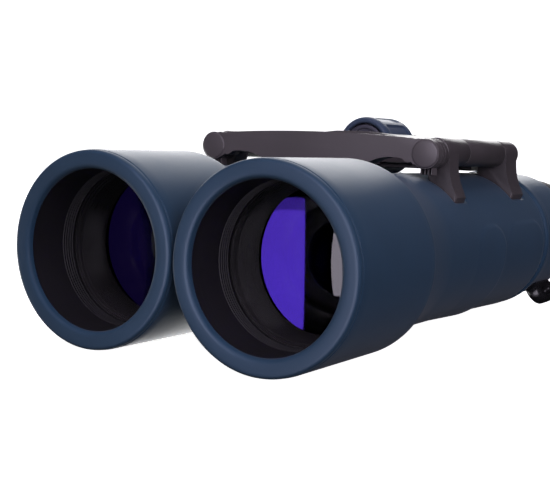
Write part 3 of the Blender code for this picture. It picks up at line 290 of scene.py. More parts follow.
def turn(mesh, outline, sides, centre, reach=None):
    """Spin (radius, y) points in millimetres, y from the rim plane, round a barrel-wise axis at centre.

    reach(y, angle) in millimetres, where given, is added to each outer radius whose third value is true.
    """
    rings = []
    for point in outline:
        radius, y = point[0], point[1]
        moves = len(point) > 2 and point[2]
        if radius <= 0.0:
            rings.append([mesh.verts.new((centre.x, RIM_Y + y * MM, centre.z))])
            continue
        ring = []
        for step in range(sides):
            angle = math.tau * step / sides
            size = radius + (reach(y, angle) if moves else 0.0)
            ring.append(mesh.verts.new((
                centre.x + size * MM * math.cos(angle),
                RIM_Y + y * MM,
                centre.z + size * MM * math.sin(angle),
            )))
        rings.append(ring)
    pairs = list(zip(rings, rings[1:]))
    if outline[0][0] > 0.0:
        pairs.append((rings[-1], rings[0]))
    for first, second in pairs:
        for step in range(sides):
            after = (step + 1) % sides
            corners = []
            for ring, place in ((first, step), (first, after), (second, after), (second, step)):
                vert = ring[place] if len(ring) > 1 else ring[0]
                if vert not in corners:
                    corners.append(vert)
            if len(corners) > 2:
                mesh.faces.new(corners)
    return mesh


def extrude(mesh, outline, start, end, rounding=0.0, segments=3):
    """Extrude (x, z) points in metres between two y positions in millimetres, and round the long edges."""
    low = RIM_Y + start * MM
    high = RIM_Y + end * MM
    front = [mesh.verts.new((x, low, z)) for x, z in outline]
    back = [mesh.verts.new((x, high, z)) for x, z in outline]
    faces = [mesh.faces.new(front), mesh.faces.new(back[::-1])]
    count = len(outline)
    for step in range(count):
        after = (step + 1) % count
        faces.append(mesh.faces.new((front[step], back[step], back[after], front[after])))
    if rounding:
        ends = [edge for face in faces[:2] for edge in face.edges]
        bmesh.ops.bevel(
            mesh, geom=ends, offset=rounding * MM, segments=segments, profile=0.5, affect="EDGES",
            clamp_overlap=True,
        )
    return mesh


def arc(centre, radius, start, end, steps):
    """Points on an arc, angles in degrees."""
    points = []
    for step in range(steps + 1):
        angle = math.radians(start + (end - start) * step / steps)
        points.append((centre[0] + radius * math.cos(angle), centre[1] + radius * math.sin(angle)))
    return points


def smooth(value, low, high):
    """0 below low, 1 above high, smooth between."""
    share = min(1.0, max(0.0, (value - low) / (high - low)))
    return share * share * (3.0 - 2.0 * share)


def pad(along, across, half_length, half_width, corner, soft):
    """1 inside a rounded rectangle, falling to 0 over a soft edge."""
    dx = abs(along) - half_length + corner
    dy = abs(across) - half_width + corner
    outside = math.hypot(max(dx, 0.0), max(dy, 0.0)) + min(max(dx, dy), 0.0) - corner
    return 1.0 - smooth(outside, -soft, 0.0)


def steps_between(start, end, step):
    count = max(1, round((end - start) / step))
    return [start + (end - start) * index / count for index in range(1, count + 1)]


def sag(curve, radius):
    """How far a sphere falls back from its vertex at a radius."""
    return curve - math.sqrt(curve * curve - radius * radius)


def outward(word, angle):
    """Angle from the outward horizontal, upwards positive, in degrees from -180 to 180."""
    degrees = math.degrees(angle)
    if word == "right":
        degrees = 180.0 - degrees
    return (degrees + 180.0) % 360.0 - 180.0


def colours():
    return bpy.context.scene.binocular_colours


def sizes():
    return bpy.context.scene.binocular_sizes


def made(name, maker, *args):
    """A material that is made once and then shared."""
    return bpy.data.materials.get(name) or maker(name, *args)


# ---------------------------------------------------------------- settings


class BinocularSizes(bpy.types.PropertyGroup):
    """Sizes of the details that the looks add to the frame."""

    edge_rounding: FloatProperty(
        name="Casting edge", description="Rounding of the castings' edges", default=0.0007, unit="LENGTH"
    )
    pad_height: FloatProperty(
        name="Grip pads", description="How far the grip pads stand proud", default=0.0008, unit="LENGTH"
    )
    foot_recess: FloatProperty(
        name="Foot recess", description="Depth of the recess round each hinge foot", default=0.0009,
        unit="LENGTH",
    )
    wheel_recess: FloatProperty(
        name="Wheel flats", description="Depth of the flats round the focus wheel", default=0.0005,
        unit="LENGTH",
    )
    wheel_flats: IntProperty(
        name="Wheel flat count", description="Flats round the focus wheel", default=10, min=3
    )
    ring_ribs: IntProperty(name="Dioptre ribs", description="Ribs round the dioptre ring", default=60, min=12)
    thread_rings: IntProperty(name="Baffle rings", description="Fine rings before the lens", default=5, min=1)


class BinocularColours(bpy.types.PropertyGroup):
    """Colours of the finishes."""

    armour: FloatVectorProperty(
        name="Armour", description="Blue rubber armour", subtype="COLOR", default=(0.012, 0.034, 0.064)
    )
    wheel: FloatVectorProperty(
        name="Wheel grip", description="Rubber round the focus wheel", subtype="COLOR",
        default=(0.026, 0.042, 0.075),
    )
    casting: FloatVectorProperty(
        name="Castings", description="Satin paint on arm, housing and legs", subtype="COLOR",
        default=(0.046, 0.041, 0.044),
    )
    bore: FloatVectorProperty(
        name="Bores", description="Matt black inside the hoods", subtype="COLOR",
        default=(0.007, 0.0065, 0.008),
    )
    plastic: FloatVectorProperty(
        name="Plastic", description="Black eyepiece plastic", subtype="COLOR", default=(0.016, 0.016, 0.018)
    )
    cap: FloatVectorProperty(
        name="Wheel cap", description="Dark grey plastic of the wheel", subtype="COLOR",
        default=(0.030, 0.030, 0.045),
    )
    lens_coating: FloatVectorProperty(
        name="Coating", description="Light that the lens coating returns", subtype="COLOR",
        default=(0.016, 0.007, 0.091),
    )
    floor: FloatVectorProperty(
        name="Floor", description="Pale floor and sweep", subtype="COLOR", default=(0.86, 0.86, 0.87)
    )


# ---------------------------------------------------------------- barrels

HOOD_REAR = (28.6, 45.7)
GRIP = 24.15
BAND = 24.9
ARMOUR_END = 157.6
SHOULDER_END = 68.0
# Hinge feet: middle and half length along the barrel, then middle and half spread in degrees
FEET = ((87.0, 4.6, 55.0, 13.0), (139.1, 6.1, 62.0, 20.0))
FOOT_MARGIN = 0.9
# Grip pads: middle and half length along the barrel
PADS = ((101.0, 12.0), (133.4, 17.6))
PAD_TURN = 52.0
PAD_HALF_WIDTH = 31.0
PAD_CORNER = 9.0


def grip_shape(word):
    """Change of the armour's radius over its length and round it: grip pads and foot recesses."""
    lift = sizes().pad_height / MM
    dip = sizes().foot_recess / MM

    def reach(y, angle):
        turn_out = outward(word, angle)
        across = math.radians(turn_out + PAD_TURN) * GRIP
        change = 0.0
        for centre_y, half in PADS:
            ramp = min(1.0, max(0.0, (y - centre_y + half) / (2.0 * half)))
            change += lift * ramp * pad(y - centre_y, across, half, PAD_HALF_WIDTH, PAD_CORNER, 1.2)
        for foot_y, half, centre, spread in FEET:
            along = math.radians(turn_out - centre) * GRIP
            half_width = math.radians(spread) * GRIP + FOOT_MARGIN
            change -= dip * pad(y - foot_y, along, half + FOOT_MARGIN, half_width, 1.6, 1.1)
        return change

    return reach


def front_armour_outline():
    """Hood, shoulder, grip and band of the front armour."""
    rear_radius, rear_y = HOOD_REAR
    outline = [(23.1, 2.0), (23.1, 1.25), (23.22, 0.72), (23.5, 0.36), (23.95, 0.1), (24.4, 0.0), (25.6, 0.0)]
    outline += [(27.0, 0.0), (27.5, 0.04), (27.95, 0.22), (28.27, 0.6), (28.38, 1.1), (28.4, 1.55)]
    outline += [(28.22, 1.68), (28.2, 1.84), (28.44, 1.98), (28.5, 2.3), (28.5, 6.0)]
    outline += [(28.5 + 0.1 * (y - 6.0) / 38.0, y) for y in (14.0, 24.0, 34.0, 42.0)]
    outline += [(rear_radius, rear_y - 1.3), (rear_radius - 0.12, rear_y - 0.55)]
    outline += [(rear_radius - 0.5, rear_y - 0.05)]
    outline += [(rear_radius - 0.95, rear_y + 0.35)]
    for y in steps_between(rear_y + 1.6, SHOULDER_END, 1.4):
        share = (y - rear_y) / (SHOULDER_END - rear_y)
        fall = 1.0 - (1.0 - share) ** 1.6
        outline.append((27.4 - (27.4 - GRIP) * fall, y))
    outline += [(GRIP, y, True) for y in steps_between(SHOULDER_END, 153.0, 0.75)]
    outline += [(GRIP - 0.25, 153.4), (GRIP - 0.3, 153.8), (GRIP - 0.1, 154.15)]
    outline += [(BAND - 0.35, 154.4), (BAND - 0.08, 154.7), (BAND, 155.1), (BAND, 156.6), (BAND - 0.1, 157.1)]
    outline += [(BAND - 0.4, 157.5), (BAND - 0.8, ARMOUR_END), (22.4, ARMOUR_END)]
    outline += [(22.3, 69.0), (26.2, 47.0), (26.2, 2.0)]
    return outline


class BINOCULARS_OT_armour(bpy.types.Operator):
    """Rubber armour of both barrels: deep hood, shoulder, grip with pads, band, and the rear sleeve"""

    bl_idname = "binoculars.armour"
    bl_label = "Armour"

    def execute(self, context):
        material = made("blue_rubber", rubber, colours().armour, 0.44)
        for word, _ in SIDES:
            body = "barrel_" + word
            mesh = turn(bmesh.new(), front_armour_outline(), ARMOUR_SIDES, AXIS[word], grip_shape(word))
            add_piece(
                "armour_front_" + word, mesh, material, body, ["front_armour_" + word], 50.0
            )
            outline = [(22.35, 157.95), (22.9, 157.95), (22.8, 158.4), (22.75, 160.4), (22.9, 160.7)]
            outline += [(23.0, 160.75), (23.3, 160.85), (23.6, 161.2), (23.62, 161.8), (23.5, 162.6)]
            outline += [(23.5, y) for y in (166.0, 172.0, 178.0, 184.0)]
            outline += arc((21.3, 185.6), 2.2, 0.0, 78.0, 8)
            outline += [(21.4, 187.8), (21.35, 187.6)]
            mesh = turn(bmesh.new(), outline, 160, AXIS[word])
            add_piece("armour_rear_" + word, mesh, material, body, ["rear_armour_" + word])
        return {"FINISHED"}


class BINOCULARS_OT_bores(bpy.types.Operator):
    """Black tube inside each hood, with fine rings, and the conical ring in front of the glass"""

    bl_idname = "binoculars.bores"
    bl_label = "Bores"

    def execute(self, context):
        matt = made("bore_black", bore_black, colours().bore)
        shine = made("ring_black", gloss_black, (0.02, 0.019, 0.021))
        for word, _ in SIDES:
            body = "barrel_" + word
            outline = [(23.2, 2.3)]
            outline += [(23.2, y) for y in (6.0, 10.0, 14.4)]
            rings = sizes().thread_rings
            for index in range(rings):
                y = 14.8 + index * 1.0
                outline += [(23.2, y), (22.95, y + 0.2), (22.95, y + 0.45), (23.2, y + 0.65)]
            outline += [(23.2, 20.0), (23.2, 41.0), (21.0, 41.2), (17.0, 66.0), (17.0, 76.4)]
            outline += [(19.8, 76.4), (19.8, 69.6), (21.8, 69.6), (21.8, 64.6), (25.8, 45.0), (25.8, 2.3)]
            mesh = turn(bmesh.new(), outline, 160, AXIS[word])
            add_piece("hood_bore_" + word, mesh, matt, body, ["objective_tube_" + word], 30.0)
            outline = [(23.05, 20.0), (22.75, 20.0), (22.65, 20.15)]
            outline += [(22.55, 20.9), (22.7, 21.1), (22.45, 21.4)]
            outline += [(22.3, 22.2), (22.45, 22.4), (22.2, 22.7)]
            outline += [(22.2 - 1.15 * (y - 22.7) / 8.3, y) for y in (24.0, 26.0, 28.0, 30.0, 31.0)]
            outline += [(21.0, 31.5), (21.0, 32.2), (22.9, 32.4), (22.9, 31.0)]
            mesh = turn(bmesh.new(), outline, 160, AXIS[word])
            add_piece("lens_ring_" + word, mesh, shine, body, ["objective_ring_" + word], 25.0)
        return {"FINISHED"}


GLASS_RADIUS = 22.4
COATED_FROM = 34.2
SECOND_GLASS_END = 40.4


def lens_side(vertex, curve, radius, steps):
    """(radius, y) points of a lens face from its vertex outwards; a negative curve bulges backwards."""
    points = []
    for step in range(steps + 1):
        distance = radius * step / steps
        points.append((distance, vertex + math.copysign(sag(abs(curve), distance), curve)))
    return points


class BINOCULARS_OT_glass(bpy.types.Operator):
    """Objective glasses: a clear front lens with a coating on its back, and a coated lens behind it"""

    bl_idname = "binoculars.glass"
    bl_label = "Glass"

    def execute(self, context):
        clear = made("lens_glass", clear_glass, (0.92, 0.93, 0.97))
        coat = made("lens_coating", coating, colours().lens_coating, (0.016, 0.007, 0.10))
        for word, _ in SIDES:
            body = "barrel_" + word
            front = lens_side(29.0, 58.5, GLASS_RADIUS, 24)
            back = lens_side(35.8, -260.0, GLASS_RADIUS, 24)
            mesh = turn(bmesh.new(), front + back[::-1], 128, AXIS[word])
            item = add_piece(
                "front_glass_" + word, mesh, clear, body, ["objective_crown_" + word], 60.0
            )
            item.data.materials.append(coat)
            for face in item.data.polygons:
                face.material_index = int(face.center.y > RIM_Y + COATED_FROM * MM)
            back = [(radius, y + 0.3) for radius, y in back]
            back += [(GLASS_RADIUS, SECOND_GLASS_END), (0.0, SECOND_GLASS_END)]
            mesh = turn(bmesh.new(), back, 128, AXIS[word])
            add_piece(
                "second_glass_" + word, mesh, coat, body, ["objective_flint_" + word], 60.0
            )
        return {"FINISHED"}


LEG_ROUND = 4.5
LEG_FOOT = 22.6


def leg_profile(side, inner_top, inner_angle):
    """Section of a hinge leg in metres: round top, bowed outer flank, foot flared into the armour."""
    hinge_x = HINGE_OUT / MM
    top_z = (HINGE_Z - BARREL_Z) / MM + COLLAR_RISE
    outer = hinge_x + LEG_ROUND
    points = arc((hinge_x, top_z), LEG_ROUND, inner_top, 0.0, 20)
    points += [(outer + 0.05, 29.0), (outer + 0.15, 27.0), (outer + 0.4, 25.0), (outer + 0.75, 23.4)]
    points += [(outer + 1.2, 21.8), (outer + 1.8, 20.3), (outer + 2.5, 18.9), (outer + 3.4, 17.4)]
    for step in range(7):
        angle = math.radians(40.0 + (inner_angle - 40.0) * step / 6)
        points.append((LEG_FOOT * math.cos(angle), LEG_FOOT * math.sin(angle)))
    return [(side * (abs(AXIS["left"].x) + x * MM), BARREL_Z + z * MM) for x, z in points]


class BINOCULARS_OT_castings(bpy.types.Operator):
    """Black castings of the barrels: the hinge legs and collars above the armour"""

    bl_idname = "binoculars.castings"
    bl_label = "Barrel castings"

    def execute(self, context):
        material = made("casting_paint", satin_paint, colours().casting)
        edge = sizes().edge_rounding / MM
        for word, side in SIDES:
            legs = bmesh.new()
            extrude(legs, leg_profile(side, 225.0, 68.0), 83.2, 90.8, edge)
            extrude(legs, leg_profile(side, 190.0, 81.0), 133.8, 144.4, edge)
            collars = bmesh.new()
            centre = Vector((HINGE[word].x, 0.0, HINGE_Z + COLLAR_RISE * MM))
            front = [(0.0, 82.65), (4.2, 82.65), (4.45, 82.8), (4.52, 83.1), (4.52, 100.7), (4.4, 100.93)]
            front += [(4.2, 101.0), (0.0, 101.0)]
            turn(collars, front, 96, centre)
            rear = [(0.0, 133.6), (4.2, 133.6), (4.4, 133.67), (4.52, 133.9)]
            rear += [(4.52, y) for y in (136.0, 140.0, 144.6)]
            rear += arc((1.52, 145.4), 3.0, 0.0, 90.0, 10)[1:]
            rear += [(0.0, 148.4)]
            turn(collars, rear, 96, centre)
            mesh = bmesh.new()
            for solid in (legs, collars):
                bored = plain_object("bored", solid)
                bpy.context.scene.collection.objects.link(bored)
                bore = [(0.0, 80.0), (PIN_BORE, 80.0), (PIN_BORE, 145.4), (0.0, 145.4)]
                bar = turn(bmesh.new(), bore, 48, Vector((HINGE[word].x, 0.0, HINGE_Z)))
                shaped(bored, plain_object("bore", bar), "DIFFERENCE")
                mesh.from_mesh(bored.data)
                bpy.data.objects.remove(bored)
            tube = [(19.9, 70.0), (21.8, 70.0), (21.8, 157.9), (19.9, 157.9)]
            turn(mesh, tube, 96, AXIS[word])
            add_piece(
                "barrel_casting_" + word, mesh, material, "barrel_" + word, ["barrel_chassis_" + word],
                34.0,
            )
        return {"FINISHED"}


LUG_ANGLE = 50.0


def lug_loop(low, high, start, end, corner):
    """Rounded rectangle in millimetres: x outwards from the barrel axis, y along it."""
    points = []
    for centre, first in (
        ((high - corner, start + corner), -90.0),
        ((high - corner, end - corner), 0.0),
        ((low + corner, end - corner), 90.0),
        ((low + corner, start + corner), 180.0),
    ):
        points += arc(centre, corner, first, first + 90.0, 8)
    return points


def scaled(loop, grow):
    """Move a loop's points outwards by a distance in millimetres."""
    middle_x = sum(point[0] for point in loop) / len(loop)
    middle_y = sum(point[1] for point in loop) / len(loop)
    half_x = max(point[0] for point in loop) - middle_x
    half_y = max(point[1] for point in loop) - middle_y
    return [
        (middle_x + (x - middle_x) * (1 + grow / half_x), middle_y + (y - middle_y) * (1 + grow / half_y))
        for x, y in loop
    ]


def build_lug(mesh, rows):
    """Skin a plate with a slot from rows of (height, outer loop, slot loop)."""
    rings = []
    for height, outer, slot in rows:
        rings.append([
            [mesh.verts.new((x * MM, y * MM, height * MM)) for x, y in loop] for loop in (outer, slot)
        ])
    count = len(rings[0][0])
    for first, second in zip(rings, rings[1:]):
        for kind in (0, 1):
            for step in range(count):
                after = (step + 1) % count
                near, far = first[kind], second[kind]
                mesh.faces.new((near[step], near[after], far[after], far[step]))
    for ring in (rings[0], rings[-1]):
        for step in range(count):
            after = (step + 1) % count
            mesh.faces.new((ring[0][step], ring[0][after], ring[1][after], ring[1][step]))


class BINOCULARS_OT_lugs(bpy.types.Operator):
    """Strap lugs with a rounded slot, low on the outer side of each barrel"""

    bl_idname = "binoculars.lugs"
    bl_label = "Strap lugs"

    def execute(self, context):
        material = made("lug_black", plastic, (0.008, 0.008, 0.009), 0.28)
        for word, side in SIDES:
            mesh = bmesh.new()
            rows = []
            outer = lug_loop(21.6, 31.0, 165.8, 183.8, 4.6)
            slot = lug_loop(25.3, 28.8, 170.3, 179.3, 1.75)
            for half, grow in ((2.5, 0.9), (1.9, 0.3), (1.2, 0.0), (-1.2, 0.0), (-1.9, 0.3), (-2.5, 0.9)):
                rows.append((half, scaled(outer, -grow), scaled(slot, grow)))
            build_lug(mesh, rows)
            angle = LUG_ANGLE if side > 0 else 180.0 - LUG_ANGLE
            turned = Matrix.Rotation(math.radians(angle), 4, "Y")
            mesh.transform(Matrix.Translation((AXIS[word].x, RIM_Y, BARREL_Z)) @ turned)
            add_piece(
                "lug_" + word, mesh, material, "barrel_" + word, ["strap_lug_" + word], 40.0
            )
        return {"FINISHED"}


# ---------------------------------------------------------------- bridge


KNUCKLE_RIBS = 4
RIB_PITCH = 1.15
RIB_HALF = 0.3


def arm_profile():
    """Outline of the front arm in metres: bowed top, round ends and an arch beside each barrel."""
    hinge_x = abs(HINGE["left"].x) / MM
    hinge_z = (HINGE_Z - BARREL_Z) / MM
    half = []
    for step in range(13):
        x = 34.9 * step / 12
        half.append((x, 36.4 - 1.25 * (x / 36.0) ** 2))
    half += arc((hinge_x, hinge_z), 4.6, 118.0, -142.0, 30)
    half += [(34.4, 27.4), (33.6, 28.1), (32.6, 28.6), (31.4, 28.9)]
    half += [(29.4, 29.15), (27.0, 29.2), (24.8, 28.95)]
    half += [(22.6, 28.4), (20.5, 27.5), (18.4, 26.6), (16.5, 25.6), (14.6, 24.9), (12.6, 24.4), (10.5, 24.2)]
    half += [(4.0, 24.2)]
    other = [(-x, z) for x, z in reversed(half) if x > 0.0]
    return [(x * MM, BARREL_Z + z * MM) for x, z in half + other]


class BINOCULARS_OT_arm(bpy.types.Operator):
    """Front arm of the bridge with its two discs, and the bush rings behind them"""

    bl_idname = "binoculars.arm"
    bl_label = "Front arm"

    def execute(self, context):
        # The casting paint made 1.25 times lighter for the arm: painted light for its lit front face.
        material = made("arm_paint", satin_paint, tuple(1.25 * c for c in colours().casting), 0.38)
        mesh = bmesh.new()
        extrude(mesh, arm_profile(), 74.9, 77.5, 0.5)
        inner = [(x, z) for x, z in arm_profile() if abs(x) < 34.5 * MM]
        extrude(mesh, inner, 75.2, 82.3, 0.5)
        for word, _ in SIDES:
            centre = Vector((HINGE[word].x, 0.0, HINGE_Z))
            disc = [(0.0, 74.62), (3.9, 74.62), (4.15, 74.68), (4.34, 74.85), (4.5, 75.1), (4.62, 75.5)]
            turn(mesh, disc + [(4.62, 77.3), (4.4, 77.5), (0.0, 77.5)], 96, centre)
            low = BARREL_Z + 24.1 * MM
            high = BARREL_Z + 27.2 * MM
            for index in range(KNUCKLE_RIBS):
                x = HINGE[word].x + (index - (KNUCKLE_RIBS - 1) / 2) * RIB_PITCH * MM
                left, right = x - RIB_HALF * MM, x + RIB_HALF * MM
                rib = [(left, low), (right, low), (right, high), (left, high)]
                extrude(mesh, rib, 76.6, 80.2, 0.12, 1)
        add_piece("arm", mesh, material, "bridge", ["front_arm"], 30.0)
        dark = made("casting_paint", satin_paint, colours().casting)
        for word, _ in SIDES:
            bush = [(PIN_BORE, 77.9), (4.3, 77.9), (4.6, 78.1), (4.72, 78.5)]
            bush += [(4.72, 79.4), (4.5, 79.6), (4.5, 79.9)]
            bush += [(4.72, 80.1), (4.75, 80.5), (4.75, 81.6), (4.6, 82.1), (4.3, 82.35), (PIN_BORE, 82.35)]
            mesh = turn(bmesh.new(), bush, 96, Vector((HINGE[word].x, 0.0, HINGE_Z)))
            add_piece("bush_" + word, mesh, dark, "bridge", ["hinge_bush_" + word], 30.0)
        return {"FINISHED"}


def housing_profile():
    """Outline of the bridge housing in metres, an arched roof between the two sleeves."""
    half = [(0.0, 37.3), (6.0, 37.25), (12.0, 36.6), (18.0, 35.9), (24.0, 35.35), (30.0, 34.9), (35.0, 34.6)]
    half += [(38.4, 34.4), (38.4, 29.0), (36.0, 27.4), (35.0, 27.2), (20.0, 27.2)]
    other = [(-x, z) for x, z in reversed(half) if x > 0.0]
    return [(x * MM, BARREL_Z + z * MM) for x, z in half + other]


def plain_block(name, low, high):
    """A hidden box between two corners in millimetres, x and z from the middle and the barrel axes."""
    mesh = bmesh.new()
    bmesh.ops.create_cube(mesh, size=1.0)
    size = [(b - a) * MM for a, b in zip(low, high)]
    centre = [(a + b) / 2 * MM for a, b in zip(low, high)]
    move = Matrix.Translation((centre[0], RIM_Y + centre[1], BARREL_Z + centre[2]))
    mesh.transform(move @ Matrix.Diagonal((*size, 1.0)))
    return plain_object(name, mesh)


def plain_object(name, mesh):
    """A working object that cuts or is cut, never part of the binoculars itself."""
    bmesh.ops.recalc_face_normals(mesh, faces=mesh.faces)
    data = bpy.data.meshes.new(name)
    mesh.to_mesh(data)
    mesh.free()
    return bpy.data.objects.new(name, data)


def shaped(item, tool, operation):
    """Cut or join with a hidden tool and keep the result as the piece's own mesh."""
    bpy.context.scene.collection.objects.link(tool)
    change = item.modifiers.new("shape", "BOOLEAN")
    change.operation = operation
    change.solver = "EXACT"
    change.object = tool
    bpy.context.view_layer.update()
    result = bpy.data.meshes.new_from_object(item.evaluated_get(bpy.context.evaluated_depsgraph_get()))
    item.modifiers.clear()
    old = item.data
    item.data = result
    bpy.data.meshes.remove(old)
    bpy.data.objects.remove(tool)


class BINOCULARS_OT_housing(bpy.types.Operator):
    """Bridge housing: arched roof with the wheel's window, middle sleeves, rear rib and the plate below"""

    bl_idname = "binoculars.housing"
    bl_label = "Bridge housing"

    def execute(self, context):
        material = made("casting_paint", satin_paint, colours().casting)
        edge = sizes().edge_rounding / MM
        mesh = extrude(bmesh.new(), housing_profile(), 101.3, 133.3, 0.4)
        item = add_piece("housing", mesh, material, "bridge", ["bridge_housing"], 34.0)
        shaped(item, plain_block("neck", (-11.0, 82.6, 26.4), (11.0, 102.5, 36.0)), "UNION")
        shaped(item, plain_block("rib", (-31.4, 132.3, 24.9), (31.4, 143.0, 34.7)), "UNION")
        shaped(item, plain_block("pocket", (-33.0, 102.3, 20.0), (33.0, 109.6, 33.4)), "DIFFERENCE")
        shaped(item, plain_block("window", (-10.95, 109.8, 20.0), (10.95, 131.8, 45.0)), "DIFFERENCE")
        soften = item.modifiers.new("edges", "BEVEL")
        soften.width = edge * MM * 0.8
        soften.segments = 3
        soften.limit_method = "ANGLE"
        soften.angle_limit = math.radians(50.0)
        item.data.shade_smooth()
        item.data.set_sharp_from_angle(angle=math.radians(34.0))
        mesh = bmesh.new()
        for word, _ in SIDES:
            centre = Vector((HINGE[word].x, 0.0, HINGE_Z + COLLAR_RISE * MM))
            sleeve = [(PIN_BORE, 101.3), (4.2, 101.3), (4.4, 101.37)]
            sleeve += [(4.5, 101.6), (4.5, 133.0), (4.4, 133.23)]
            turn(mesh, sleeve + [(4.2, 133.3), (PIN_BORE, 133.3)], 96, centre)
        add_piece("sleeves", mesh, material, "bridge", (), 34.0)
        mesh = extrude(bmesh.new(), cover_profile(), 102.6, 109.4, 0.3)
        add_piece("underplate", mesh, material, "bridge", ["bridge_cover"], 34.0)
        return {"FINISHED"}


def cover_profile():
    """Section of the plate under the bridge, in metres."""
    points = [(-32.0, 25.5), (32.0, 25.5), (32.0, 26.7), (31.8, 26.9), (-31.8, 26.9), (-32.0, 26.7)]
    return [(x * MM, BARREL_Z + z * MM) for x, z in points]


# ---------------------------------------------------------------- wheel


WHEEL_RADIUS = 10.15
WHEEL_MIDDLE = 120.8


def wheel_flats():
    """Shallow flats with raised edges round the wheel's rubber."""
    depth = sizes().wheel_recess / MM
    count = sizes().wheel_flats
    pitch = math.tau / count

    def reach(y, angle):
        local = (angle + pitch / 2) % pitch - pitch / 2
        half_width = pitch * WHEEL_RADIUS / 2 - 0.7
        return -depth * pad(y - WHEEL_MIDDLE, local * WHEEL_RADIUS, 7.6, half_width, 0.9, 0.8)

    return reach


class BINOCULARS_OT_wheel(bpy.types.Operator):
    """Focus wheel: blue rubber with shallow flats, and a dark grey cap with a ring and a small screw"""

    bl_idname = "binoculars.wheel"
    bl_label = "Focus wheel"

    def execute(self, context):
        blue = made("wheel_rubber", rubber, colours().wheel, 0.42)
        grey = made("cap_plastic", plastic, colours().cap, 0.4)
        centre = Vector((WHEEL.x, 0.0, WHEEL.z))
        outline = [(8.75, 131.4), (8.65, 113.2), (8.0, 112.7), (7.95, 110.9), (8.0, 110.5), (8.3, 110.25)]
        outline += [(8.9, 110.2), (9.3, 110.25), (9.7, 110.5), (9.98, 110.9), (10.1, 111.4)]
        outline += [(WHEEL_RADIUS, y, True) for y in steps_between(111.4, 130.2, 0.4)]
        outline += [(10.1, 130.5), (9.95, 130.95), (9.7, 131.2), (9.3, 131.4)]
        mesh = turn(bmesh.new(), outline, 320, centre, wheel_flats())
        add_piece("wheel_rubber", mesh, blue, "focus_wheel", ["focus_grip"], 50.0)
        cap = [(0.0, 110.9), (1.3, 110.9), (1.5, 111.0), (1.7, 110.75), (5.2, 110.6), (5.6, 110.6)]
        cap += [(5.75, 110.95), (6.1, 110.95), (6.25, 110.55), (7.1, 110.5)]
        cap += [(7.4, 110.6), (7.5, 110.9), (7.5, 112.6), (0.0, 112.6)]
        mesh = turn(bmesh.new(), cap, 128, centre)
        add_piece("wheel_cap", mesh, grey, "focus_wheel", ["focus_cap"], 30.0)
        core = [(2.1, 113.1), (7.75, 113.1), (8.3, 113.7), (8.3, 130.9)]
        core += [(8.0, 131.3), (7.2, 131.4), (7.0, 131.1)]
        core += [(4.0, 131.1), (3.8, 131.4), (2.1, 131.4)]
        mesh = turn(bmesh.new(), core, 128, centre)
        add_piece("wheel_core", mesh, grey, "focus_wheel", ["focus_wheel"], 30.0)
        return {"FINISHED"}


# ---------------------------------------------------------------- eyepieces


def ribs(count, depth, start, end):
    """Rounded ribs round a ring between two y positions in millimetres."""

    def reach(y, angle):
        inside = smooth(y, start, start + 0.5) * (1.0 - smooth(y, end - 0.5, end))
        wave = 0.5 + 0.5 * math.cos(angle * count)
        return -depth * inside * wave ** 2

    return reach


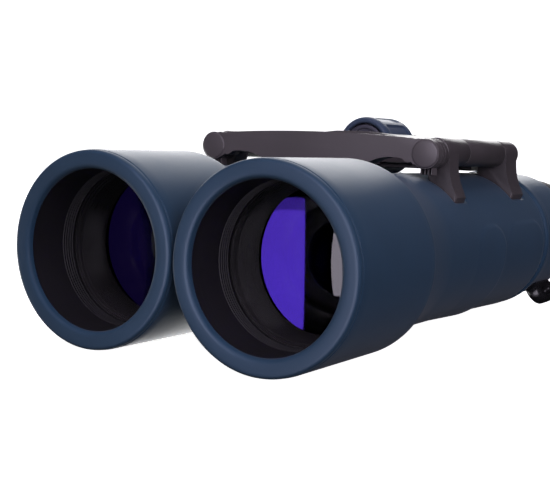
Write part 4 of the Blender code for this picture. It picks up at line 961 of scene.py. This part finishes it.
class BINOCULARS_OT_eyepieces(bpy.types.Operator):
    """Rear bodies, dioptre ring and collar, click rings, rubber eyecups and eye lenses"""

    bl_idname = "binoculars.eyepieces"
    bl_label = "Eyepieces"

    def execute(self, context):
        black = made("body_plastic", plastic, colours().plastic)
        soft = made("cup_rubber", rubber, (0.016, 0.016, 0.018), 0.62)
        dark = made("bore_black", bore_black, colours().bore)
        coat = made("eye_coating", coating, (0.03, 0.05, 0.05), (0.05, 0.03, 0.09))
        for word, side in SIDES:
            body = "barrel_" + word
            outline = [(19.5, 152.0), (19.5, 158.2), (22.3, 158.25)]
            outline += [(22.3, 160.6), (21.1, 160.7), (21.1, 186.8)]
            outline += [(18.0, 186.8), (18.0, 206.0), (17.7, 206.3)]
            outline += [(15.6, 206.3), (15.5, 206.1), (15.5, 183.5)]
            outline += [(19.2, 183.5), (19.2, 160.3), (18.2, 157.0), (18.0, 152.0)]
            mesh = turn(bmesh.new(), outline, 96, AXIS[word])
            add_piece("rear_body_" + word, mesh, black, body, ["ocular_body_" + word], 30.0)
            ring_body, ring_node, ring_name = body, "ocular_collar", "eyepiece_collar"
            ring_shape = None
            if side < 0:
                ring_body, ring_node, ring_name = "dioptre_ring", "dioptre_ring", "dioptre_grip"
                ring_shape = ribs(sizes().ring_ribs, 0.45, 188.9, 194.4)
            outline = [(18.3, 188.1), (20.9, 188.1), (21.4, 188.25), (21.62, 188.6)]
            outline += [(21.7, y, ring_shape is not None) for y in steps_between(188.6, 194.6, 0.25)]
            outline += [(21.4, 194.95), (20.9, 195.1), (18.3, 195.1)]
            mesh = turn(bmesh.new(), outline, 480, AXIS[word], ring_shape)
            add_piece(ring_name, mesh, black, ring_body, [ring_node], 45.0)
            outline = [(18.3, 195.4), (19.2, 195.4), (19.2, 206.2), (18.3, 206.2)]
            mesh = turn(bmesh.new(), outline, 96, AXIS[word])
            add_piece(
                "click_ring_" + word, mesh, dark, "eyecup_ring_" + word, ["eyecup_ring_" + word]
            )
            outline = [(19.5, 195.45), (20.8, 195.45), (21.1, 195.6), (21.2, 195.9)]
            for y in (197.0, 198.2, 199.4, 200.6):
                outline += [(21.2, y), (20.95, y + 0.25), (20.95, y + 0.45), (21.2, y + 0.7)]
            outline += [(21.2, 203.0), (21.15, 205.0), (21.0, 207.0), (20.75, 209.0)]
            outline += arc((19.2, 209.5), 1.5, 0.0, 90.0, 8)
            outline += [(17.0, 211.0), (15.6, 210.9), (14.9, 210.5)]
            outline += [(14.55, 209.8), (14.5, 207.0), (14.5, 206.75)]
            outline += [(19.5, 206.75)]
            mesh = turn(bmesh.new(), outline, 128, AXIS[word])
            add_piece("cup_" + word, mesh, soft, "eyecup_" + word, ["eyecup_" + word], 45.0)
            eye_body = body if side > 0 else "ocular_right"
            cell_low, cell_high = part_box("ocular_cell_" + word)
            radius = (cell_high.x - cell_low.x) / 2 / MM
            lens = [(0.0, 198.3), (radius - 1.7, 198.3)] + lens_side(202.6, -38.0, radius - 1.7, 12)[::-1]
            mesh = turn(bmesh.new(), lens, 96, AXIS[word])
            add_piece("eye_glass_" + word, mesh, coat, eye_body, ["eye_lens_" + word], 60.0)
            cell = [(radius - 1.4, 187.2), (radius, 187.2), (radius, 203.9), (radius - 0.3, 204.2)]
            cell += [(radius - 0.9, 204.2), (radius - 1.3, 203.6)]
            cell += [(radius - 1.4, 198.0), (radius - 2.8, 198.0)]
            cell += [(radius - 2.8, 192.4), (radius - 1.4, 192.4)]
            mesh = turn(bmesh.new(), cell, 96, AXIS[word])
            add_piece("eye_cell_" + word, mesh, dark, eye_body, ["ocular_cell_" + word], 30.0)
        return {"FINISHED"}


class BINOCULARS_OT_works(bpy.types.Operator):
    """Finishes of the frame's own small parts: screws, pins, rods, yoke, carriers, prisms and seals"""

    bl_idname = "binoculars.works"
    bl_label = "Inner works"

    def execute(self, context):
        steel = made("ground_steel", turned_metal, (0.42, 0.42, 0.44))
        brass = made("turned_brass", turned_metal, (0.55, 0.4, 0.18), 0.35)
        glass = made("inner_glass", clear_glass, (0.9, 0.94, 0.94))
        black = made("bore_black", bore_black, colours().bore)
        seal = made("seal_rubber", rubber, (0.015, 0.015, 0.016), 0.5)
        finishes = {
            steel: ("arm_screw", "hinge_pin", "focus_rod", "focus_spindle"),
            brass: ("focus_yoke", "focus_carrier"),
            glass: ("focusing_lens", "field_lens", "half_prism", "roof_prism"),
            black: ("prism_cell",),
            seal: ("barrel_seal",),
        }
        for material, names in finishes.items():
            for node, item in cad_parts.items():
                if node.startswith(names):
                    item.data.materials.clear()
                    item.data.materials.append(material)
        return {"FINISHED"}


# ---------------------------------------------------------------- stage


class BinocularStage(bpy.types.PropertyGroup):
    """Camera and light."""

    camera_place: FloatVectorProperty(
        name="Camera place", description="Where the camera stands", subtype="TRANSLATION",
        default=(0.17736, -0.34157, 0.06083),
    )
    camera_turn: FloatVectorProperty(
        name="Camera turn", description="Yaw to the left, pitch down and roll", subtype="EULER",
        default=(math.radians(31.50), math.radians(5.04), math.radians(2.20)),
    )
    lens: FloatProperty(name="Lens", description="Focal length in millimetres", default=72.22)
    top_light: FloatProperty(
        name="Top light", description="Power of the overhead panel", default=4.0, unit="POWER"
    )
    high_light: FloatProperty(
        name="Front top light", description="Power of the panel high in front", default=8.5, unit="POWER"
    )
    right_light: FloatProperty(
        name="Right light", description="Power of the panel at the right", default=9.5, unit="POWER"
    )
    bounce_glow: FloatProperty(name="Bounce", description="Glow of the card under the hoods", default=4.0)
    back_glow: FloatProperty(name="Back card", description="Glow of the card behind", default=4.5)
    front_light: FloatProperty(name="Front light", description="Glow of the front panel", default=4.3)
    sweep_glow: FloatProperty(name="Sweep", description="Glow of the floor and sweep", default=1.0)


WHITE = (1.0, 1.0, 1.0)
GREY = (0.5, 0.5, 0.5)
BLACK = (0.0, 0.0, 0.0)
FILL_GLOW = 0.3
SWEEP_START = 1.1
SWEEP_RADIUS = 0.7
SWEEP_HALF_WIDTH = 3.0


def stage_look(name, colour, glow, tint=WHITE):
    """Matt paper with a faint texture and a glow of its own, weaker far below the object."""
    look = Look(name)
    paper = look.noise(60.0, 3.0)
    look.feed("Base Color", look.mix(paper, rgba(colour, 0.99), rgba(colour, 1.01)))
    look.feed("Roughness", 0.9)
    look.feed("Specular IOR Level", 0.0)
    height = look.part(2).between(-0.33, -0.31)
    look.feed("Emission Color", look.mix(height, rgba(tint, 0.45), rgba(tint)))
    look.feed("Emission Strength", glow)
    return look.material


def stage_sheet(name, rows, half_width, material):
    """A sheet of (y, z) rows in metres, wide along X, that isn't part of the object."""
    mesh = bmesh.new()
    pairs = [(mesh.verts.new((-half_width, y, z)), mesh.verts.new((half_width, y, z))) for y, z in rows]
    for first, second in zip(pairs, pairs[1:]):
        mesh.faces.new((first[0], first[1], second[1], second[0]))
    data = bpy.data.meshes.new(name)
    mesh.to_mesh(data)
    mesh.free()
    data.shade_smooth()
    data.materials.append(material)
    item = bpy.data.objects.new(name, data)
    bpy.context.scene.collection.objects.link(item)
    return item


def unseen_by(item, *rays):
    """Hide a sheet or a light from some kinds of ray."""
    for ray in rays:
        setattr(item, "visible_" + ray, False)


def add_panel(name, place, target, size, power, tint=WHITE):
    """A soft light panel that faces a target."""
    light = bpy.data.lights.new(name, "AREA")
    light.color = tint
    light.shape = "RECTANGLE"
    light.size, light.size_y = size
    light.energy = power
    item = bpy.data.objects.new(name, light)
    item.location = place
    item.rotation_euler = (Vector(target) - Vector(place)).to_track_quat("-Z", "Y").to_euler()
    bpy.context.scene.collection.objects.link(item)
    return item


def camera_matrix(stage):
    """World matrix of the camera from its yaw, pitch and roll."""
    yaw, pitch, roll = stage.camera_turn
    ahead = Vector((-math.sin(yaw) * math.cos(pitch), math.cos(yaw) * math.cos(pitch), -math.sin(pitch)))
    right = ahead.cross(Vector((0.0, 0.0, 1.0))).normalized()
    up = right.cross(ahead)
    side = right * math.cos(roll) + up * math.sin(roll)
    top = up * math.cos(roll) - right * math.sin(roll)
    matrix = Matrix((side, top, -ahead)).transposed().to_4x4()
    matrix.translation = Vector(stage.camera_place)
    return matrix


class BINOCULARS_OT_stage(bpy.types.Operator):
    """Pale floor that sweeps up behind, soft light and the camera"""

    bl_idname = "binoculars.stage"
    bl_label = "Stage"

    def execute(self, context):
        scene = context.scene
        stage = scene.binocular_stage
        sweep = stage_look("sweep_paper", colours().floor, stage.sweep_glow)
        rows = [(-2.6, 0.0), (SWEEP_START, 0.0)]
        for step in range(1, 13):
            angle = math.pi / 2 * step / 12
            y = SWEEP_START + SWEEP_RADIUS * math.sin(angle)
            rows.append((y, SWEEP_RADIUS - SWEEP_RADIUS * math.cos(angle)))
        rows.append((1.8, 2.6))
        for name, part in (("floor", rows[:2]), ("sweep", rows[1:])):
            sheet = stage_sheet(name, part, SWEEP_HALF_WIDTH, sweep)
            unseen_by(sheet, "glossy", "transmission", "diffuse")
        yaw = stage.camera_turn[0]
        for name, rows, glow, along, half_width in (
            ("bounce_card", [(0.0, -0.04), (0.9, -0.04)], stage.bounce_glow, -0.44, 0.42),
            ("back_card", [(1.4, 0.02), (1.4, 0.9)], stage.back_glow, -0.14, 0.75),
        ):
            card = stage_sheet(name, rows, half_width, stage_look(name, GREY, glow))
            card.rotation_euler.z = yaw
            card.location = (along * math.cos(yaw), along * math.sin(yaw), 0.0)
            unseen_by(card, "camera", "transmission", "diffuse")
        flag_glow = stage_look("flag_glow", BLACK, 0.2)
        flag = stage_sheet("flag", [(-0.15, -0.03), (-0.15, 0.09)], 0.04, flag_glow)
        flag.location.x = -0.067
        unseen_by(flag, "camera", "diffuse", "shadow")
        front_glow = stage_look("front_glow", GREY, stage.front_light, (1.0, 0.92, 1.1))
        front = stage_sheet("front_panel", [(-0.75, -0.45), (-0.75, 0.42)], 0.3, front_glow)
        front.location.x = 0.09
        unseen_by(front, "camera", "diffuse")
        add_panel("top_panel", (-0.2, 0.3, 1.0), (0.0, 0.0, 0.03), (0.9, 0.9), stage.top_light)
        lilac = (1.08, 0.94, 1.13)
        for name, place, power in (
            ("high_panel", (-0.15, -0.85, 1.0), stage.high_light),
            ("right_panel", (1.0, -0.6, 0.55), stage.right_light),
        ):
            panel = add_panel(name, place, (0.0, -0.05, 0.03), (0.7, 0.7), power, lilac)
            unseen_by(panel, "glossy")
        camera = bpy.data.objects.new("camera", bpy.data.cameras.new("camera"))
        camera.data.lens = stage.lens
        camera.data.sensor_width = 36.0
        camera.data.clip_start = 0.01
        camera.matrix_world = camera_matrix(stage)
        scene.collection.objects.link(camera)
        scene.camera = camera
        world = bpy.data.worlds.new("studio")
        scene.world = world
        world.use_nodes = True
        background = world.node_tree.nodes["Background"]
        background.inputs["Color"].default_value = (0.9, 0.93, 1.0, 1.0)
        background.inputs["Strength"].default_value = FILL_GLOW
        world.cycles_visibility.glossy = False
        world.cycles_visibility.transmission = False
        scene.view_settings.view_transform = "Standard"
        return {"FINISHED"}


# ---------------------------------------------------------------- panel and run

STEPS = (
    BINOCULARS_OT_armour,
    BINOCULARS_OT_bores,
    BINOCULARS_OT_glass,
    BINOCULARS_OT_castings,
    BINOCULARS_OT_lugs,
    BINOCULARS_OT_arm,
    BINOCULARS_OT_housing,
    BINOCULARS_OT_wheel,
    BINOCULARS_OT_eyepieces,
    BINOCULARS_OT_works,
    BINOCULARS_OT_stage,
)


class BINOCULARS_PT_sidebar(bpy.types.Panel):
    """Buttons and settings of the binoculars"""

    bl_idname = "BINOCULARS_PT_sidebar"
    bl_label = "Binoculars"
    bl_space_type = "VIEW_3D"
    bl_region_type = "UI"
    bl_category = "Binoculars"

    def draw(self, context):
        column = self.layout.column()
        for step in STEPS:
            column.operator(step.bl_idname)
        for group, name in GROUPS:
            for key in group.__annotations__:
                column.prop(getattr(context.scene, name), key)


GROUPS = (
    (BinocularSizes, "binocular_sizes"),
    (BinocularColours, "binocular_colours"),
    (BinocularStage, "binocular_stage"),
)


def register():
    for group, key in GROUPS:
        bpy.utils.register_class(group)
        setattr(bpy.types.Scene, key, PointerProperty(type=group))
    for step in STEPS + (BINOCULARS_PT_sidebar,):
        bpy.utils.register_class(step)


def unregister():
    for step in (BINOCULARS_PT_sidebar,) + STEPS[::-1]:
        bpy.utils.unregister_class(step)
    for group, key in GROUPS[::-1]:
        delattr(bpy.types.Scene, key)
        bpy.utils.unregister_class(group)


def main():
    register()
    for step in STEPS:
        name = step.bl_idname.split(".")[1]
        getattr(bpy.ops.binoculars, name)()
    bpy.context.view_layer.update()


if __name__ == "__main__":
    main()
